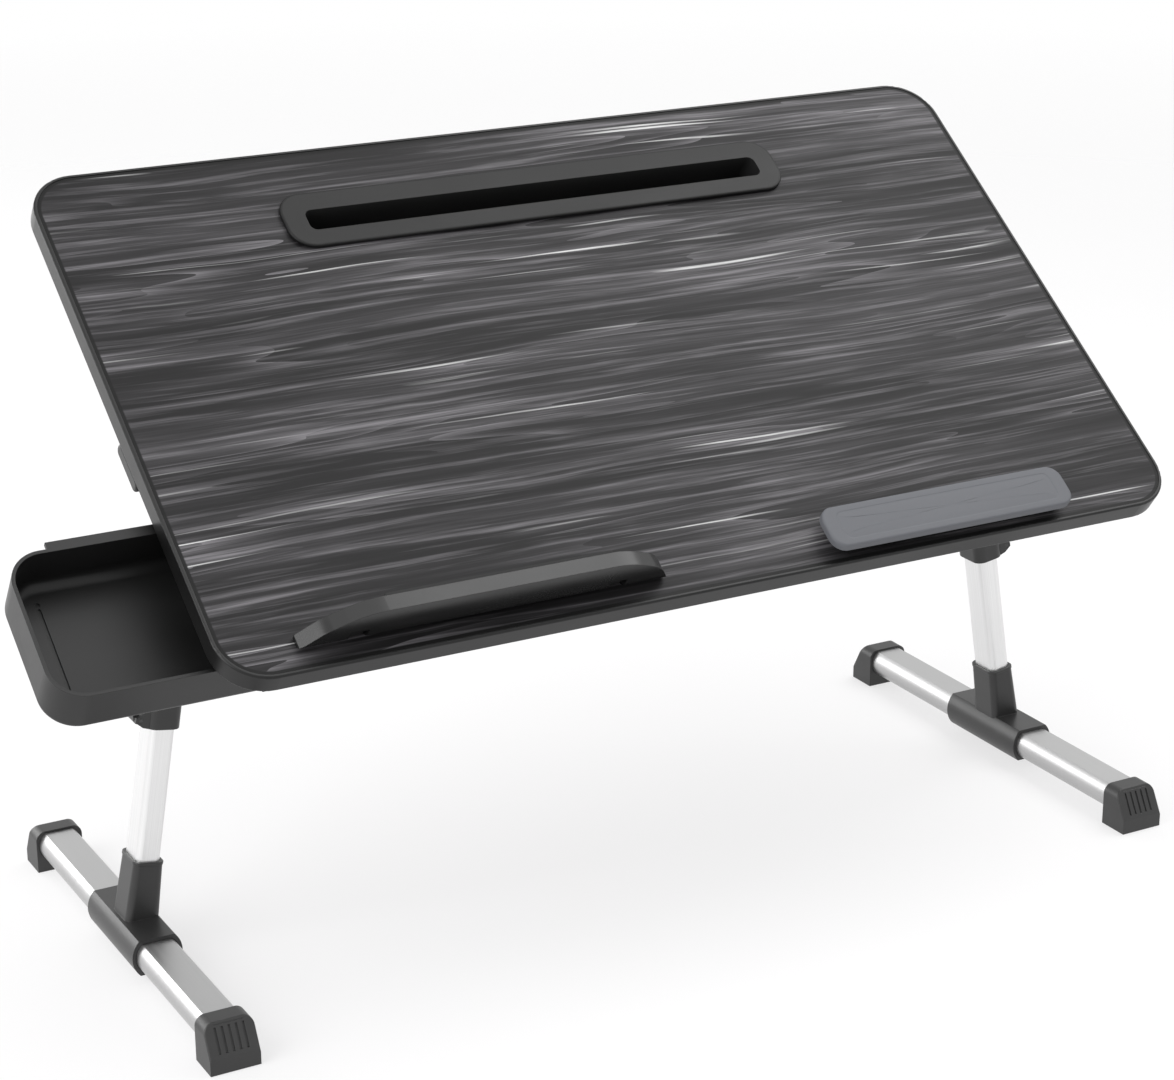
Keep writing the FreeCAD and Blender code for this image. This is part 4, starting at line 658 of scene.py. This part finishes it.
@dataclass
class StopPad:
    """The soft grey pad on top of the flat stop: a rounded slab with a shallow sunk field."""

    body: str = "right_stop"
    node: str = "stop_pad_right"
    length: float = 0.1654
    width: float = 0.028
    height: float = 0.005
    corner: float = 0.009
    corner_segments: int = 8
    edge: float = 0.0016
    edge_segments: int = 4
    rim: float = 0.0024
    end_rim: float = 0.0045
    step_width: float = 0.0009
    step_depth: float = 0.00018
    crown: float = 0.00025
    crown_inset: float = 0.0025
    name: str = "stop_pad_soft"
    base: Colour = (0.108, 0.112, 0.124)
    worn: Colour = (0.128, 0.132, 0.145)

    def placing(self) -> Matrix:
        """Return the turn and place of the pad's middle, from its own axes to the stand's."""
        low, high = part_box(self.node)
        middle = (Vector(low) + Vector(high)) / 2
        return Matrix.Translation(middle) @ Euler((TILT, 0.0, 0.0)).to_matrix().to_4x4()

    def shell(self) -> bmesh.types.BMesh:
        """Return the pad's closed form about its own middle."""
        form = bmesh.new()
        size = Matrix.Diagonal((self.length, self.width, self.height, 1.0))
        bmesh.ops.create_cube(form, size=1.0, matrix=size)
        upright = [
            edge for edge in form.edges if abs((edge.verts[0].co - edge.verts[1].co).normalized().z) > 0.99
        ]
        self.round_off(form, upright, self.corner, self.corner_segments)
        rims = (self.rim_edges(form, 1.0), self.rim_edges(form, -1.0))
        for rim, radius in zip(rims, (self.edge, self.edge / 3)):
            self.round_off(form, rim, radius, self.edge_segments)
        self.sink_field(form)
        bmesh.ops.recalc_face_normals(form, faces=form.faces[:])
        return form

    def round_off(
        self, form: bmesh.types.BMesh, edges: list[bmesh.types.BMEdge], radius: float, segments: int
    ) -> None:
        """Round edges.

        Args:
            form: The pad so far.
            edges: The edges.
            radius: How far the rounding reaches.
            segments: Its count of faces.
        """
        bmesh.ops.bevel(
            form, geom=edges, offset=radius, segments=segments, profile=0.5, affect="EDGES", material=-1,
            clamp_overlap=True,
        )

    def rim_edges(self, form: bmesh.types.BMesh, side: float) -> list[bmesh.types.BMEdge]:
        """Return the edges round the top or the bottom.

        Args:
            form: The pad so far.
            side: 1 for the top and -1 for the bottom.
        """
        level = side * self.height / 2
        return [edge for edge in form.edges if all(abs(vert.co.z - level) < 1e-6 for vert in edge.verts)]

    def sink_field(self, form: bmesh.types.BMesh) -> None:
        """Sink the field inside the rim a little and crown it.

        Args:
            form: The pad so far.
        """
        top = max((face for face in form.faces if face.normal.z > 0.99), key=lambda face: face.calc_area())
        bmesh.ops.inset_region(form, faces=[top], thickness=self.rim, use_even_offset=True)
        half = self.length / 2 - self.edge - self.rim
        bmesh.ops.scale(form, vec=(1.0 - self.end_rim / half, 1.0, 1.0), verts=top.verts)
        step, drop = self.step_width, self.step_depth / 2
        for inset, lift in (
            (step * 0.4, 0.0), (step * 0.3, -drop), (step * 0.3, -drop), (step * 0.5, 0.0),
            (self.crown_inset, self.crown * 0.7), (self.crown_inset, self.crown * 0.3),
        ):
            bmesh.ops.inset_region(form, faces=[top], thickness=inset, use_even_offset=True)
            bmesh.ops.translate(form, vec=(0.0, 0.0, lift), verts=top.verts)

    def build(self, effects: Effects) -> None:
        """Model the pad and hang it on the stop.

        Args:
            effects: The shared effects.
        """
        skin = Plastic(
            "pad_skin", self.base, self.worn, Lie.BOARD,
            grain=1500.0, roughness=0.62, relief=0.25, rounding=0.0,
        )
        pad = place_piece(self.name, self.shell(), self.placing(), skin.make(effects))
        smooth = pad.modifiers.new("soften", "SUBSURF")
        smooth.levels = smooth.render_levels = 2
        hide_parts(self.node)
        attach(pad, self.body)
        LOG.info("soft pad of %.0f mm", self.length * 1000)


def place_piece(
    name: str, form: bmesh.types.BMesh, place: Matrix, finish: bpy.types.Material
) -> bpy.types.Object:
    """Turn a form into an object whose place is in its mesh.

    Args:
        name: The piece's name.
        form: Its shape, which is used up.
        place: The matrix that takes it to its place.
        finish: Its material.

    Returns:
        The new object.
    """
    bmesh.ops.transform(form, matrix=place, verts=form.verts[:])
    mesh = bpy.data.meshes.new(name)
    form.to_mesh(mesh)
    form.free()
    for polygon in mesh.polygons:
        polygon.use_smooth = True
    mesh.materials.append(finish)
    piece = bpy.data.objects.new(name, mesh)
    bpy.context.scene.collection.objects.link(piece)
    return piece


@dataclass(frozen=True)
class Lamp:
    """A rectangular lamp: its place, the point that it faces, its size in metres and its watts."""

    name: str
    place: Triple
    aim: Triple
    size: tuple[float, float]
    power: float

    def hang(self) -> None:
        """Hang the lamp."""
        lamp = bpy.data.lights.new(self.name, "AREA")
        lamp.shape = "RECTANGLE"
        lamp.size, lamp.size_y = self.size
        lamp.energy = self.power
        holder = bpy.data.objects.new(self.name, lamp)
        holder.location = self.place
        facing = Vector(self.aim) - Vector(self.place)
        holder.rotation_euler = facing.to_track_quat("-Z", "Y").to_euler()
        bpy.context.scene.collection.objects.link(holder)


@dataclass
class Studio:
    """Pale floor, soft lights and the camera."""

    floor_half: float = 9.0
    floor_low: Colour = (0.27, 0.27, 0.27)
    floor_high: Colour = (0.29, 0.29, 0.29)
    floor_tint: tuple[float, float, float, float] = (1.0, 0.995, 1.0, 1.0)
    floor_glow: float = 0.692
    floor_roughness: float = 0.75
    floor_shine: float = 0.15
    fade_start: float = 1.2
    fade_end: float = 3.2
    sky_light: float = 0.5
    lamps: tuple[Lamp, ...] = (
        Lamp("back_softbox", (-1.15, 2.0, 0.6), (-0.2, 0.0, 0.1), (1.6, 1.0), 19.0),
        Lamp("left_softbox", (-1.8, -0.5, 1.2), (0.0, 0.0, 0.2), (1.5, 1.5), 28.0),
        Lamp("right_softbox", (1.05, -0.08, 1.6), (0.3, 0.0, 0.34), (1.2, 1.2), 13.0),
        Lamp("top_softbox", (-0.1, -0.3, 2.8), (0.0, 0.0, 0.2), (2.4, 2.4), 18.0),
    )
    camera_place: Triple = (-0.74818, -1.39978, 0.76439)
    camera_turn: Triple = (70.63, 0.235, -28.862)
    lens: float = 87.82
    sensor: float = 36.0
    sight: float = 60.0

    def lay_floor(self) -> None:
        """Make a pale floor that fades into the background far from the stand."""
        form = bmesh.new()
        bmesh.ops.create_grid(form, x_segments=2, y_segments=2, size=self.floor_half)
        finish = bpy.data.materials.new("pale_floor")
        finish.use_nodes = True
        pen = Pen(finish.node_tree)
        shader = finish.node_tree.nodes["Principled BSDF"]
        shader.inputs["Roughness"].default_value = self.floor_roughness
        shader.inputs["Specular IOR Level"].default_value = self.floor_shine
        shader.inputs["Emission Color"].default_value = self.floor_tint
        shader.inputs["Emission Strength"].default_value = self.floor_glow
        place = pen.node("ShaderNodeTexCoord")
        mottle = pen.noise(place.outputs["Object"], scale=3.0, detail=2.0)
        pen.feed(shader.inputs["Base Color"], pen.blend(mottle, self.floor_low, self.floor_high))
        away = pen.vector("LENGTH", place.outputs["Object"])
        clear = pen.node("ShaderNodeBsdfTransparent")
        mix = pen.node("ShaderNodeMixShader")
        pen.feed(mix.inputs[0], pen.between(away.outputs["Value"], self.fade_start, self.fade_end))
        pen.feed(mix.inputs[1], shader.outputs[0])
        pen.feed(mix.inputs[2], clear.outputs[0])
        output = finish.node_tree.nodes["Material Output"]
        pen.feed(output.inputs["Surface"], mix.outputs[0])
        floor = place_piece("floor", form, Matrix.Identity(4), finish)

    def light_world(self) -> None:
        """Give a white background and an even grey sky light."""
        world = bpy.data.worlds.new("studio")
        world.use_nodes = True
        bpy.context.scene.world = world
        pen = Pen(world.node_tree)
        path = pen.node("ShaderNodeLightPath")
        seen = pen.calc("MAXIMUM", path.outputs["Is Camera Ray"], path.outputs["Is Glossy Ray"])
        seen = pen.calc("MAXIMUM", seen, path.outputs["Is Transmission Ray"])
        back = world.node_tree.nodes["Background"]
        pen.feed(back.inputs["Color"], (1.0, 1.0, 1.0))
        pen.feed(back.inputs["Strength"], pen.between(seen, 0.0, 1.0, self.sky_light, 1.0))

    def place_camera(self) -> None:
        """Set the camera up at the photograph's angle."""
        data = bpy.data.cameras.new("camera")
        data.lens = self.lens
        data.sensor_width = self.sensor
        data.sensor_fit = "HORIZONTAL"
        data.clip_end = self.sight
        camera = bpy.data.objects.new("camera", data)
        camera.location = self.camera_place
        camera.rotation_euler = Euler([math.radians(angle) for angle in self.camera_turn], "XYZ")
        bpy.context.scene.collection.objects.link(camera)
        bpy.context.scene.camera = camera

    def build(self) -> None:
        """Set the whole stage."""
        self.lay_floor()
        self.light_world()
        for lamp in self.lamps:
            lamp.hang()
        self.place_camera()
        bpy.context.scene.view_settings.view_transform = "Standard"
        LOG.info("stage is set")


def main(frame: dict) -> None:
    """Dress the stand and set its stage.

    Args:
        frame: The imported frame.
    """
    logging.basicConfig(level=logging.INFO, format="%(name)s: %(message)s")
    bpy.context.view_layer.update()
    effects = Effects()
    Wardrobe(effects).dress(frame["nodes"])
    StopPad().build(effects)
    Studio().build()


if __name__ == "__main__":
    main(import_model())
